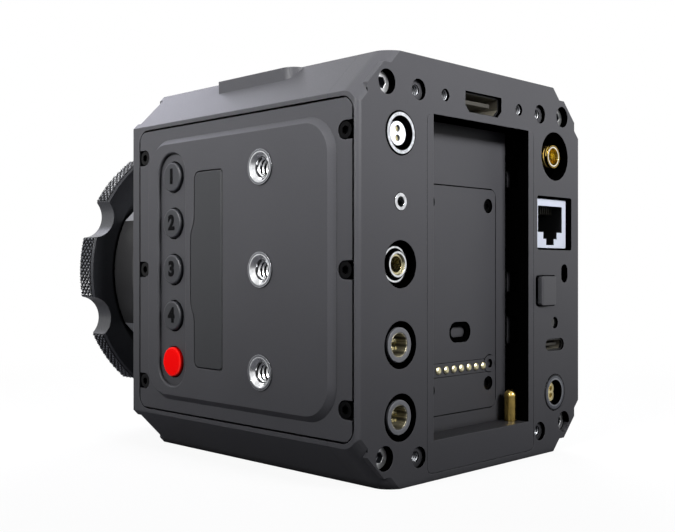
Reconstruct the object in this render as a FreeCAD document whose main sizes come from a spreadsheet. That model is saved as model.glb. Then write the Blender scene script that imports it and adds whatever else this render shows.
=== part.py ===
import FreeCAD, Part
import Sketcher
import math
import os
import re

# A box-shaped cinema camera body with a knurled lens locking ring.
# Frame: +Z up, lens towards -Y, button side towards +X, origin under the middle of the whole camera.
SIZES = (
    ("body_width", 91.3, "side plane to side plane"),
    ("body_height", 99.6, "base to top"),
    ("box_depth", 87.4, "rear face to front face"),
    ("mount_depth", 25.7, "front face to the front of the mount block"),
    ("ring_gap", 0.3, "running gap behind the locking ring"),
    ("ring_depth", 7.1, "locking ring, front to back"),
    ("rear_depth", 9.5, "rear housing, front to back"),
    ("edge_chamfer", 10.35, "leg of the four long chamfers"),
    ("wall", 4.5, "housing wall"),
    ("front_wall", 6.0, "wall that carries the lens mount"),
    ("board_ledge", 1.5, "ledge that the main board stands on"),
    ("board_setback", 44.2, "rear face to the main board's front"),
    ("board_thickness", 1.6, "circuit boards"),
    ("connector_setback", 15.0, "rear face to the connector board's rear"),
    ("lens_drop", 0.8, "lens axis below mid-height"),
    ("throat_radius", 27.0, "clear bore behind the lens"),
    ("neck_radius", 35.7, "round neck of the mount block"),
    ("neck_flats", 67.6, "neck across its four diagonal flats"),
    ("base_radius", 43.9, "round base of the mount block"),
    ("base_thickness", 4.2, "base of the mount block"),
    ("base_screw_inset", 4.4, "edge of the base to its screws"),
    ("ring_radius", 43.5, "locking ring outside"),
    ("ring_bore", 33.0, "bearing bore of the locking ring"),
    ("ring_fit", 0.06, "radial running clearance of the ring"),
    ("ring_back_recess", 36.2, "radius of the recess in the ring's back"),
    ("ring_back_depth", 1.0, "depth of that recess"),
    ("ring_lip_depth", 4.2, "depth of the ring's mouth, for the flange plate and a lens's wings"),
    ("lug_count", 3, "locking lugs at the ring's mouth"),
    ("lug_thickness", 1.1, "locking lugs, front to back"),
    ("lug_gap_half", 32.0, "half the angle of the gap between two lugs"),
    ("index_pin_radius", 1.2, "pin that sets a lens's turn"),
    ("index_pin_height", 1.0, "index pin above the flange"),
    ("flange_radius", 34.6, "flange plate outside"),
    ("flange_thickness", 1.5, "flange plate"),
    ("seat_radius", 32.7, "raised face of the flange plate, which a lens seats on"),
    ("seat_rise", 0.8, "raised face above the flange plate's rim"),
    ("scallop_count", 9, "finger scallops of the ring"),
    ("scallop_radius", 6.5, "radius of a scallop"),
    ("scallop_bottom", 39.1, "ring axis to a scallop's deepest point"),
    ("scallop_turn", 22.0, "angle of the first scallop"),
    ("cover_length", 82.6, "side cover along Y"),
    ("cover_height", 76.2, "side cover along Z"),
    ("cover_margin", 1.5, "rear face to the side cover"),
    ("cover_depth", 3.0, "side cover flange thickness"),
    ("cover_gap", 0.3, "seam round the covers"),
    ("cover_corner", 3.5, "corner radius of a side cover"),
    ("panel_rise", 1.5, "raised panel above the side plane"),
    ("panel_margin_long", 5.0, "cover edge to raised panel along Y"),
    ("panel_margin_high", 3.4, "cover edge to raised panel along Z"),
    ("panel_corner", 9.0, "corner radius of the raised panel"),
    ("button_radius", 3.9, "side button cap"),
    ("button_pitch", 12.25, "side button spacing"),
    ("button_inset", 67.05, "rear face to the side buttons"),
    ("button_travel", 0.7, "press depth"),
    ("button_gap", 0.3, "clearance round each button"),
    ("button_flange", 0.8, "width of the retaining flange"),
    ("flange_height", 0.8, "thickness of the retaining flange"),
    ("counterbore_depth", 2.0, "counterbore behind each button"),
    ("dome_height", 0.25, "snap dome under each button"),
    ("groove_width", 12.0, "button groove"),
    ("groove_height", 61.6, "button groove, end to end"),
    ("groove_depth", 1.0, "button groove"),
    ("insert_inset", 30.75, "rear face to the side inserts"),
    ("insert_pitch", 24.55, "side insert spacing"),
    ("insert_bore", 2.55, "quarter-inch 20 thread, tapping radius"),
    ("insert_radius", 3.9, "threaded insert body"),
    ("insert_flange", 4.3, "threaded insert rim"),
    ("insert_length", 8.0, "threaded insert"),
    ("insert_rim", 0.35, "rim above its face"),
    ("insert_lead", 0.95, "countersunk lead-in of a side insert"),
    ("door_inset", 45.5, "rear face to the hinge edge of the card door"),
    ("door_width", 11.3, "card door across"),
    ("door_height", 50.0, "card door end to end"),
    ("door_thickness", 1.6, "card door"),
    ("door_gap", 0.3, "clearance round the card door"),
    ("door_corner", 1.8, "card door corner radius"),
    ("hinge_corner", 1.2, "card door corner radius beside the hinge"),
    ("hinge_pocket_corner", 0.85, "pocket corner beside the hinge, where the open door stands"),
    ("tab_reach", 1.6, "finger tab beyond the door's edge"),
    ("tab_height", 18.0, "finger tab end to end"),
    ("stub_radius", 0.45, "hinge stubs of the card door"),
    ("stub_length", 1.2, "hinge stubs"),
    ("stub_fit", 0.06, "radial clearance of the stubs"),
    ("card_slot_gap", 4.6, "card slot opening across"),
    ("card_slot_height", 43.6, "card slot opening end to end"),
    ("card_slot_depth", 36.0, "how far a card goes in"),
    ("card_slot_wall", 1.8, "walls of the card slot"),
    ("cover_screw_inset", 2.4, "cover edge to its screws"),
    ("cover_screw_pitch", 30.8, "side cover screw spacing"),
    ("cover_screw_radius", 1.9, "side cover screw head"),
    ("bay_width", 39.6, "battery bay"),
    ("bay_floor", 9.45, "base to the bay's floor"),
    ("bay_drop", 13.0, "top to the bay's upper end"),
    ("bay_depth", 7.5, "rear face to the bay's back"),
    ("tray_width", 44.2, "battery tray"),
    ("tray_bottom", 1.8, "base to the tray's lower edge"),
    ("tray_corner", 2.0, "corner radius of the tray"),
    ("tray_gap", 0.12, "seam round the tray"),
    ("tray_web", 1.6, "rear housing's wall beside the tray"),
    ("plate_width", 31.1, "bay plate"),
    ("plate_bottom", 13.1, "base to the bay plate"),
    ("plate_drop", 28.4, "top to the bay plate's upper end"),
    ("plate_thickness", 1.2, "bay plate"),
    ("plate_corner", 2.5, "bay plate corners"),
    ("plate_screw_span", 24.2, "bay plate screws across"),
    ("plate_screw_margin", 5.6, "bay plate end to its screws"),
    ("plate_screw_radius", 1.9, "bay plate counterbores"),
    ("strip_middle", 24.5, "base to the contact strip's middle"),
    ("strip_height", 3.4, "contact strip"),
    ("strip_length", 22.0, "contact strip"),
    ("strip_ear", 2.3, "screw ear of the contact strip"),
    ("contact_pitch", 3.1, "contact spacing"),
    ("contact_radius", 0.95, "contact face"),
    ("contact_count", 7, "contacts in the strip"),
    ("pin_radius", 1.65, "terminal pin"),
    ("pin_height", 8.4, "terminal pin"),
    ("pin_span", 35.5, "terminal pins across"),
    ("pin_setback", 4.4, "rear face to the terminal pins"),
    ("flare_length", 4.5, "flare of the rear corners along Y"),
    ("flare_depth", 2.5, "flare of the rear corners, square to the chamfer"),
    ("boss_inset", 3.1, "rear corner boss from side and top planes"),
    ("boss_leg", 11.6, "leg of the rear corner boss"),
    ("rear_round", 1.4, "round of the rear side edges"),
    ("corner_inset_top", 9.45, "side plane to the upper corner screws"),
    ("corner_inset_base", 8.65, "side plane to the lower corner screws"),
    ("corner_screw_inset", 7.6, "corner screws from top and base"),
    ("corner_screw_radius", 2.85, "recess of the corner screws"),
    ("accessory_span_x", 50.4, "rear accessory holes across"),
    ("accessory_drop", 8.0, "top to the upper accessory holes"),
    ("accessory_base", 6.3, "base to the lower accessory holes"),
    ("accessory_radius", 1.3, "rear accessory holes"),
    ("accessory_recess", 2.5, "counterbore of the accessory holes"),
    ("lock_span", 30.7, "cable lock holes across"),
    ("lock_radius", 1.5, "cable lock holes"),
    ("left_shift", 2.275, "left connectors, from midway between tray and side towards the tray"),
    ("right_shift", 1.375, "right connectors, from midway between tray and side towards the tray"),
    ("dc_drop", 18.7, "top to the power inlet"),
    ("dc_radius", 5.0, "power inlet"),
    ("jack_rise", 15.5, "mid-height to the small jack"),
    ("jack_radius", 2.0, "small jack"),
    ("video_rise", 1.25, "mid-height to the video socket"),
    ("recess_radius", 5.5, "recess of the round sockets"),
    ("video_radius", 4.2, "video socket"),
    ("multi_drop", 17.1, "mid-height down to the upper multi-pin socket"),
    ("multi_height_base", 16.2, "base to the lower multi-pin socket"),
    ("multi_radius", 4.1, "multi-pin socket"),
    ("antenna_drop", 18.8, "top to the antenna socket"),
    ("antenna_recess", 6.65, "recess of the antenna socket"),
    ("antenna_radius", 3.1, "antenna socket thread"),
    ("network_rise", 12.6, "mid-height to the network jack's middle"),
    ("network_width", 15.9, "network jack"),
    ("network_tall", 13.4, "network jack"),
    ("network_window", 0.6, "window round the network jack"),
    ("power_drop", 5.75, "mid-height down to the power button"),
    ("power_width", 8.4, "power button"),
    ("power_finger", 0.8, "finger gap on the bay side of the power button"),
    ("power_tall", 7.8, "power button"),
    ("power_rise", 1.2, "power button above the rear face"),
    ("lamp_drop", 14.6, "mid-height down to the status lamp"),
    ("lamp_radius", 1.6, "status lamp"),
    ("usb_drop", 20.6, "mid-height down to the data port"),
    ("usb_width", 9.1, "data port"),
    ("usb_tall", 3.3, "data port"),
    ("aux_height", 16.1, "base to the two-pin socket"),
    ("aux_radius", 4.9, "two-pin socket"),
    ("hdmi_drop", 8.5, "top to the video port"),
    ("hdmi_width", 15.1, "video port"),
    ("hdmi_tall", 5.2, "video port"),
    ("eyelet_inset", 8.25, "side plane to the strap eyelet"),
    ("eyelet_drop", 1.1, "mid-height down to the strap eyelet"),
    ("socket_gap", 0.15, "seam round each connector"),
    ("grip_inset", 6.9, "side plane to the grip boss on the chamfer"),
    ("grip_front", 58.2, "rear face to the grip boss's front"),
    ("grip_rear", 28.0, "rear face to the grip boss's rear"),
    ("grip_drop", 0.2, "grip boss below the top"),
    ("notch_leg", 12.0, "leg of the notch at the front of a chamfer"),
    ("notch_depth", 1.6, "depth of that notch along Y"),
    ("sensor_width", 44.0, "image sensor package"),
    ("sensor_tall", 34.0, "image sensor package"),
    ("flange_focal", 44.0, "flange plate to the sensor's surface"),
    ("sensor_thickness", 2.5, "image sensor package"),
    ("filter_gap", 1.2, "filter frame thickness"),
    ("filter_thickness", 2.0, "filter glass"),
    ("carrier_thickness", 2.2, "sensor carrier plate"),
    ("carrier_width", 60.0, "sensor carrier plate"),
    ("fin_count", 11, "heat sink fins"),
    ("fin_height", 6.0, "heat sink fins"),
    ("fin_thickness", 1.4, "heat sink fins"),
    ("fan_size", 24.0, "fan frame, square"),
    ("fan_depth", 8.0, "fan frame"),
    ("fan_gap", 0.5, "fan blades to the frame"),
    ("blade_count", 7, "fan blades"),
    ("vent_count", 9, "vent slots"),
    ("vent_width", 1.5, "vent slot"),
    ("vent_pitch", 2.7, "vent slot spacing"),
    ("display_width", 36.0, "top display"),
    ("display_length", 20.0, "top display"),
    ("display_setback", 54.0, "rear face to the display's middle"),
    ("menu_radius", 2.6, "menu button cap"),
    ("menu_pitch", 9.5, "menu button spacing"),
    ("menu_setback", 33.0, "rear face to the menu buttons"),
    ("menu_rise", 0.4, "menu button above the top"),
    ("tripod_front", 74.0, "rear face to the front tripod insert"),
    ("tripod_rear", 20.0, "rear face to the rear tripod insert"),
    ("latch_height", 33.8, "base to the battery latch slot"),
    ("screw_clearance", 1.6, "clearance hole of a 3 mm screw"),
    ("screw_tapping", 1.25, "tapping hole and shank of a 3 mm screw"),
    ("screw_head", 2.6, "head of a 3 mm screw"),
    ("screw_head_seat", 2.9, "counterbore of a 3 mm screw"),
    ("flange_screw", 1.05, "flange plate screws"),
    ("port_board_cut", 11.5, "cut upper corners of the connector board"),
    ("groove_soft", 0.5, "round of the button groove's upper edge"),
)
NAMES = {row[0] for row in SIZES}

# Heights and columns that follow from the sizes
PLACES = {
    "dc_height": "body_height - dc_drop",
    "antenna_height": "body_height - antenna_drop",
    "hdmi_height": "body_height - hdmi_drop",
    "jack_height": "body_height / 2 + jack_rise",
    "video_height": "body_height / 2 + video_rise",
    "network_height": "body_height / 2 + network_rise",
    "eyelet_height": "body_height / 2 - eyelet_drop",
    "power_height": "body_height / 2 - power_drop",
    "lamp_height": "body_height / 2 - lamp_drop",
    "usb_height": "body_height / 2 - usb_drop",
    "multi_height_top": "body_height / 2 - multi_drop",
    "bay_top": "body_height - bay_drop",
    "plate_top": "body_height - plate_drop",
    "left_column": "(tray_width + body_width) / 4 - left_shift",
    "right_column": "(tray_width + body_width) / 4 - right_shift",
    "corner_screw_x_top": "body_width / 2 - corner_inset_top",
    "corner_screw_x_base": "body_width / 2 - corner_inset_base",
}

doc = FreeCAD.newDocument("cinema_camera")
sheet = doc.addObject("Spreadsheet::Sheet", "sizes")
for row_number, (alias, value, meaning) in enumerate(SIZES, 1):
    sheet.set("A%d" % row_number, meaning)
    sheet.set("B%d" % row_number, str(value))
    sheet.setAlias("B%d" % row_number, alias)
doc.recompute()

# Planes that many pieces share, as expressions
REAR = "((box_depth + mount_depth + ring_gap + ring_depth - power_rise) / 2)"
SEAM = f"({REAR} - rear_depth)"
FRONT = f"({REAR} - box_depth)"
MOUNT = f"({FRONT} - mount_depth)"
RING_BACK = f"({MOUNT} - ring_gap)"
RING_FRONT = f"({RING_BACK} - ring_depth)"
FLANGE_BACK = f"({RING_FRONT} + ring_lip_depth - ring_gap)"
FLANGE_FRONT = f"({FLANGE_BACK} - flange_thickness)"
SENSOR_FACE = f"({FLANGE_FRONT} + flange_focal)"
SENSOR_BACK = f"({SENSOR_FACE} + sensor_thickness)"
CARRIER_BACK = f"({SENSOR_BACK} + carrier_thickness)"
BOARD_FRONT = f"({REAR} - board_setback)"
BOARD_REAR = f"({BOARD_FRONT} + board_thickness)"
PORT_BACK = f"({REAR} - connector_setback)"
SIDE = "(body_width / 2)"
MIDDLE = "(body_height / 2)"
AXIS = "(body_height / 2 - lens_drop)"
COVER_BACK = f"({SIDE} - cover_depth)"
PANEL = f"({SIDE} + panel_rise)"
GROOVE = f"({PANEL} - groove_depth)"
COVER_REAR = f"({REAR} - cover_margin)"
COVER_FRONT = f"({COVER_REAR} - cover_length)"
BAY_BACK = f"({REAR} - bay_depth)"
PLATE_BACK = f"({BAY_BACK} - plate_thickness)"
DOOR_HINGE = f"({REAR} - door_inset - door_thickness / 2)"
SLOT_MIDDLE = f"({REAR} - door_inset - door_width / 2)"
BUTTON_LINE = f"({REAR} - button_inset)"
FAN_MIDDLE = f"(({BOARD_REAR} + {PORT_BACK} - board_thickness) / 2)"

MOUTH = "(flange_radius + 0.4)"
DEGREE = math.pi / 180
DIAGONAL = "0.70710678"

PLANES = {"x": "YZ_Plane", "y": "XZ_Plane", "z": "XY_Plane"}
TURNS = {
    "x": FreeCAD.Rotation(FreeCAD.Vector(0, 1, 0), 90),
    "y": FreeCAD.Rotation(FreeCAD.Vector(1, 0, 0), -90),
    "z": FreeCAD.Rotation(),
}
PARTS = []


def bound(text):
    """An expression with every size's name pointed at the sheet, and every named place written out."""
    def point(word):
        name = word.group()
        if name in PLACES:
            return "(" + bound(PLACES[name]) + ")"
        return "sizes." + name if name in NAMES else name
    return re.sub(r"[a-z][a-z_]*", point, str(text))


def number(text):
    """The present value of an expression in sizes."""
    return float(sheet.evalExpression(bound(text)))


def keep(node, piece):
    """Name a finished piece after its node and list it for writing."""
    piece.Label = node
    PARTS.append((node, piece))
    return piece


# Outlines for sketches; each is a function that adds one closed loop to a sketch
def pin_point(sketch, geometry, end, across, up):
    """Fix one end of a curve by two expressions."""
    for kind, text in (("DistanceX", across), ("DistanceY", up)):
        held = sketch.addConstraint(Sketcher.Constraint(kind, -1, 1, geometry, end, number(text)))
        sketch.setExpression("Constraints[%d]" % held, bound(text))


def polygon(*corners):
    """A loop of straight lines through corners given as pairs of expressions."""
    def draw(sketch):
        spots = [FreeCAD.Vector(number(a), number(b), 0) for a, b in corners]
        count = len(corners)
        lines = [sketch.addGeometry(Part.LineSegment(spots[i], spots[(i + 1) % count]), False)
                 for i in range(count)]
        for i in range(count):
            sketch.addConstraint(Sketcher.Constraint("Coincident", lines[i], 2, lines[(i + 1) % count], 1))
            pin_point(sketch, lines[i], 1, *corners[i])
    return draw


def circle(across, up, radius):
    """A round loop."""
    def draw(sketch):
        middle = FreeCAD.Vector(number(across), number(up), 0)
        ring = sketch.addGeometry(Part.Circle(middle, FreeCAD.Vector(0, 0, 1), number(radius)), False)
        pin_point(sketch, ring, 3, across, up)
        held = sketch.addConstraint(Sketcher.Constraint("Radius", ring, number(radius)))
        sketch.setExpression("Constraints[%d]" % held, bound(radius))
    return draw


def rounded(left, low, right, high, radius):
    """A rectangle with round corners."""
    def draw(sketch):
        x0, y0, x1, y1, r = (f"({text})" for text in (left, low, right, high, radius))
        runs = (
            ((f"{x0} + {r}", y0), (f"{x1} - {r}", y0)),
            ((x1, f"{y0} + {r}"), (x1, f"{y1} - {r}")),
            ((f"{x1} - {r}", y1), (f"{x0} + {r}", y1)),
            ((x0, f"{y1} - {r}"), (x0, f"{y0} + {r}")),
        )
        centres = ((f"{x1} - {r}", f"{y0} + {r}"), (f"{x1} - {r}", f"{y1} - {r}"),
                   (f"{x0} + {r}", f"{y1} - {r}"), (f"{x0} + {r}", f"{y0} + {r}"))
        lines = []
        for start, end in runs:
            a = FreeCAD.Vector(number(start[0]), number(start[1]), 0)
            b = FreeCAD.Vector(number(end[0]), number(end[1]), 0)
            line = sketch.addGeometry(Part.LineSegment(a, b), False)
            pin_point(sketch, line, 1, *start)
            pin_point(sketch, line, 2, *end)
            lines.append(line)
        for i, centre in enumerate(centres):
            middle = FreeCAD.Vector(number(centre[0]), number(centre[1]), 0)
            base = Part.Circle(middle, FreeCAD.Vector(0, 0, 1), number(radius))
            quarter = math.pi / 2
            arc = sketch.addGeometry(Part.ArcOfCircle(base, (i - 1) * quarter, i * quarter), False)
            sketch.addConstraint(Sketcher.Constraint("Coincident", arc, 1, lines[i], 2))
            sketch.addConstraint(Sketcher.Constraint("Coincident", arc, 2, lines[(i + 1) % 4], 1))
            held = sketch.addConstraint(Sketcher.Constraint("Radius", arc, number(radius)))
            sketch.setExpression("Constraints[%d]" % held, bound(radius))
    return draw


def oval(across, up, width, height):
    """A slot with half-round ends, as wide or tall as its two sizes say."""
    radius = f"({width}) / 2" if number(width) < number(height) else f"({height}) / 2"
    slack = "0.001"
    return rounded(f"({across}) - ({width}) / 2", f"({up}) - ({height}) / 2",
                   f"({across}) + ({width}) / 2", f"({up}) + ({height}) / 2", f"{radius} - {slack}")


def octagon(inset, leg):
    """The body's outline, moved inwards by an inset, with corners cut at a leg."""
    low, high = f"({inset})", f"(body_height - ({inset}))"
    side = f"({SIDE} - ({inset}))"
    return polygon((f"-{side} + {leg}", low), (f"{side} - {leg}", low),
                   (side, f"{low} + {leg}"), (side, f"{high} - {leg}"),
                   (f"{side} - {leg}", high), (f"-{side} + {leg}", high),
                   (f"-{side}", f"{high} - {leg}"), (f"-{side}", f"{low} + {leg}"))


# Features of a body
def new_body(name):
    return doc.addObject("PartDesign::Body", name)


def new_sketch(body, axis, at, loops):
    """A sketch square to an axis, at a place along it."""
    sketch = body.newObject("Sketcher::SketchObject", body.Name + "_outline")
    plane = next(item for item in body.Origin.OriginFeatures if item.Role == PLANES[axis])
    sketch.AttachmentSupport = [(plane, "")]
    sketch.MapMode = "FlatFace"
    sign = "-" if axis == "y" else ""
    sketch.setExpression("AttachmentOffset.Base.z", bound(f"{sign}({at})"))
    for loop in loops:
        loop(sketch)
    return sketch


def pad(body, axis, low, high, *loops):
    """Add a prism between two planes square to an axis."""
    sketch = new_sketch(body, axis, low, loops)
    feature = body.newObject("PartDesign::Pad", body.Name + "_pad")
    feature.Profile = sketch
    feature.Reversed = axis == "y"
    feature.setExpression("Length", bound(f"({high}) - ({low})"))
    doc.recompute()
    return feature


def pocket(body, axis, low, high, *loops):
    """Cut a prism between two planes square to an axis."""
    before = body.Shape.Volume
    sketch = new_sketch(body, axis, low, loops)
    feature = body.newObject("PartDesign::Pocket", body.Name + "_pocket")
    feature.Profile = sketch
    feature.Reversed = axis != "y"
    feature.Refine = False
    feature.setExpression("Length", bound(f"({high}) - ({low})"))
    doc.recompute()
    if body.Shape.Volume > before - 1e-6:
        raise ValueError("a pocket of %s cuts nothing" % body.Name)
    return feature


def repeat(body, length, count):
    """Repeat the last feature in a row along its own sketch's first direction."""
    pattern = body.newObject("PartDesign::LinearPattern", body.Name + "_row")
    pattern.Originals = [body.Tip if body.Tip != pattern else pattern.BaseFeature]
    pattern.Direction = (pattern.Originals[0].Profile[0], ["H_Axis"])
    pattern.setExpression("Length", bound(length))
    pattern.setExpression("Occurrences", bound(count))
    body.Tip = pattern
    doc.recompute()
    return pattern


def dress(body, kind, size, test):
    """Round or chamfer the edges that a test picks."""
    shape = body.Tip.Shape
    names = ["Edge%d" % (i + 1) for i, edge in enumerate(shape.Edges) if test(edge)]
    feature = body.newObject("PartDesign::" + kind, body.Name + "_" + kind.lower())
    feature.Base = (body.Tip if body.Tip != feature else feature.BaseFeature, names)
    feature.setExpression("Radius" if kind == "Fillet" else "Size", bound(size))
    doc.recompute()
    if "Invalid" in feature.State:
        raise ValueError("failed %s on %s" % (kind, body.Name))
    return feature


def lies(edge, axis, place):
    """Whether an edge lies wholly in the plane at a place along an axis."""
    box = edge.BoundBox
    low, high = {"x": (box.XMin, box.XMax), "y": (box.YMin, box.YMax), "z": (box.ZMin, box.ZMax)}[axis]
    return abs(low - place) < 1e-4 and abs(high - place) < 1e-4


def runs(edge, axis):
    """Whether an edge is a straight line along an axis."""
    box = edge.BoundBox
    spans = {"x": box.XLength, "y": box.YLength, "z": box.ZLength}
    return spans.pop(axis) > 1e-3 and max(spans.values()) < 1e-4


# Primitives, each with its sizes and place bound to the sheet
def place(piece, axis, base):
    piece.Placement = FreeCAD.Placement(FreeCAD.Vector(), TURNS[axis])
    for letter, text in zip("xyz", base):
        piece.setExpression("Placement.Base." + letter, bound(text))


def rod(axis, base, length, radius):
    piece = doc.addObject("Part::Cylinder", "rod")
    piece.setExpression("Radius", bound(radius))
    piece.setExpression("Height", bound(length))
    place(piece, axis, base)
    return piece


def cone(axis, base, length, first, second):
    piece = doc.addObject("Part::Cone", "cone")
    piece.setExpression("Radius1", bound(first))
    piece.setExpression("Radius2", bound(second))
    piece.setExpression("Height", bound(length))
    place(piece, axis, base)
    return piece


def ball(base, radius):
    piece = doc.addObject("Part::Sphere", "ball")
    piece.setExpression("Radius", bound(radius))
    place(piece, "z", base)
    return piece


def block(low, high):
    piece = doc.addObject("Part::Box", "block")
    for prop, a, b in zip(("Length", "Width", "Height"), low, high):
        piece.setExpression(prop, bound(f"({b}) - ({a})"))
    place(piece, "z", low)
    return piece


def prism(axis, base, length, radius, sides=6):
    piece = doc.addObject("Part::Prism", "prism")
    piece.Polygon = sides
    piece.setExpression("Circumradius", bound(radius))
    piece.setExpression("Height", bound(length))
    place(piece, axis, base)
    return piece


def cut(base, *tools):
    result = base
    for tool in tools:
        step = doc.addObject("Part::Cut", "cut")
        step.Base = result
        step.Tool = tool
        result = step
    return result


def fuse(*pieces):
    result = doc.addObject("Part::MultiFuse", "join")
    result.Shapes = list(pieces)
    return result


def group(*pieces):
    result = doc.addObject("Part::Compound", "group")
    result.Links = list(pieces)
    return result


def tube(axis, base, length, outer, inner):
    return cut(rod(axis, base, length, outer), rod(axis, base, length, inner))


def socket_screw(axis, base, head_height, head_radius, length, radius, socket):
    """A cap screw: its base is the head's underside and its head points along the axis."""
    spots = {"x": (1, 0, 0), "y": (0, 1, 0), "z": (0, 0, 1)}[axis.strip("-")]
    sign = "-" if axis.startswith("-") else ""
    letter = axis.strip("-")

    def along(distance):
        return tuple(f"({text}) + {unit} * {sign}({distance})" for text, unit in zip(base, spots))
    head_start = along(head_height) if sign else base
    shank_start = base if sign else along(f"-({length})")
    socket_start = along(head_height) if sign else along(f"({head_height}) - ({socket})")
    head = rod(letter, head_start, head_height, head_radius)
    shank = rod(letter, shank_start, length, radius)
    hexagon = prism(letter, socket_start, socket, f"({head_radius}) * 0.55")
    return cut(fuse(head, shank), hexagon)


# Housings
def cover_outline(gap):
    """The side covers' outline on a side face, grown by a gap."""
    return rounded(f"{COVER_FRONT} - {gap}", f"{MIDDLE} - cover_height / 2 - {gap}",
                   f"{COVER_REAR} + {gap}", f"{MIDDLE} + cover_height / 2 + {gap}", f"cover_corner + {gap}")


def corner_spots():
    """The four screw places at the corners of the rear face."""
    for sign in ("", "-"):
        yield f"{sign}corner_screw_x_top", "(body_height - corner_screw_inset)"
        yield f"{sign}corner_screw_x_base", "corner_screw_inset"


def main_housing():
    """The milled box: chamfered outside, stepped cavity open to the rear, windows under the covers."""
    body = new_body("main_housing")
    pad(body, "y", FRONT, SEAM, octagon("0", "edge_chamfer"))
    grip = f"{REAR} - (grip_front + grip_rear) / 2"
    for front, back, radius in ((f"{REAR} - grip_front", grip, "1"),
                                (f"{REAR} - grip_front", f"{REAR} - grip_rear", "4")):
        pad(body, "z", "body_height - edge_chamfer", "body_height - grip_drop",
            rounded(f"{SIDE} - edge_chamfer - 6", front, f"{SIDE} - grip_inset", back, radius))
    inner = "(edge_chamfer - wall * 0.5857864)"
    narrow = "(edge_chamfer - (wall + board_ledge) * 0.5857864)"
    pocket(body, "y", f"{FRONT} + front_wall", SEAM, octagon("wall + board_ledge", narrow))
    pocket(body, "y", BOARD_FRONT, SEAM, octagon("wall", inner))
    pocket(body, "y", FRONT, f"{FRONT} + front_wall", circle("0", AXIS, "throat_radius"))
    for low, high in ((COVER_BACK, f"{SIDE} + 1"), (f"-({SIDE} + 1)", f"-{COVER_BACK}")):
        pocket(body, "x", low, high, cover_outline("cover_gap"))
    window = rounded(f"{COVER_FRONT} + 7", f"{MIDDLE} - cover_height / 2 + 5.5", f"{COVER_REAR}",
                     f"{MIDDLE} + cover_height / 2 - 5.5", "3")
    for low, high in ((f"{SIDE} - wall - board_ledge - 1", f"{COVER_BACK}"),
                      (f"-{COVER_BACK}", f"-({SIDE} - wall - board_ledge - 1)")):
        pocket(body, "x", low, high, window)
    pad(body, "y", f"{SEAM} - 12", SEAM, *(circle(a, b, "4") for a, b in corner_spots()))
    pocket(body, "y", f"{SEAM} - 9", SEAM, *(circle(a, b, "screw_tapping") for a, b in corner_spots()))
    leg = "notch_leg"
    side = "boss_inset"
    for sign in ("", "-"):
        for level, up in (("body_height", "-"), ("0", "+")):
            far = f"{sign}({SIDE} + 1)"
            spots = ((f"{sign}({SIDE} - {side})", f"{level} {up} ({leg} - {side})"),
                     (f"{sign}({SIDE} - ({leg} - {side}))", f"{level} {up} {side}"),
                     (f"{sign}({SIDE} - ({leg} - {side}))", f"{level} {up} (-1)"),
                     (far, f"{level} {up} (-1)"), (far, f"{level} {up} ({leg} - {side})"))
            pocket(body, "y", FRONT, f"{FRONT} + notch_depth", polygon(*spots))
    for spot in tripod_spots():
        pocket(body, "z", "0", "wall + board_ledge", circle("0", spot, "insert_radius"))
        pocket(body, "z", "body_height - wall - board_ledge", "body_height",
               circle("0", spot, "insert_radius"))
    display_recess(body)
    for spot in menu_spots():
        pocket(body, "z", "body_height - wall", "body_height",
               circle(spot, MENU_LINE, "menu_radius + button_gap"))
        pocket(body, "z", "body_height - wall", "body_height - wall + counterbore_depth",
               circle(spot, MENU_LINE, "menu_radius + button_flange + button_gap"))
    for a, b in block_screw_spots():
        pocket(body, "y", FRONT, f"{FRONT} + 5", circle(a, b, "screw_tapping"))
    return keep("main_housing", body)


def tripod_spots():
    return f"{REAR} - tripod_front", f"{REAR} - tripod_rear"


MENU_LINE = f"({REAR} - menu_setback)"
DISPLAY_LINE = f"({REAR} - display_setback)"
DISPLAY_X = "(-4)"


def menu_spots():
    return [f"menu_pitch * {step}" for step in ("(-1.5)", "(-0.5)", "0.5", "1.5")]


def menu_board_outline(gap):
    return rounded(f"-menu_pitch * 1.5 - 5.5 - {gap}", f"{MENU_LINE} - 5 - {gap}",
                   f"menu_pitch * 1.5 + 5.5 + {gap}", f"{MENU_LINE} + 5 + {gap}", "1")


def display_outline(gap):
    return rounded(f"{DISPLAY_X} - display_width / 2 - {gap}",
                   f"{DISPLAY_LINE} - display_length / 2 - {gap}",
                   f"{DISPLAY_X} + display_width / 2 + {gap}",
                   f"{DISPLAY_LINE} + display_length / 2 + {gap}",
                   f"3 + {gap}")


def display_recess(body):
    """A shallow seat for the glass over a deeper well for the display."""
    pocket(body, "z", "body_height - 1.2", "body_height", display_outline("0.1"))
    pocket(body, "z", "body_height - wall + 0.9", "body_height - 1.2", display_outline("(-2)"))


def block_screw_spots():
    """Four screws in the mount block, on its diagonals."""
    reach = "(base_radius - base_screw_inset)"
    for a in ("", "-"):
        for b in ("", "-"):
            yield f"{a}{reach} * {DIAGONAL}", f"{AXIS} + {b}{reach} * {DIAGONAL}"


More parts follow.
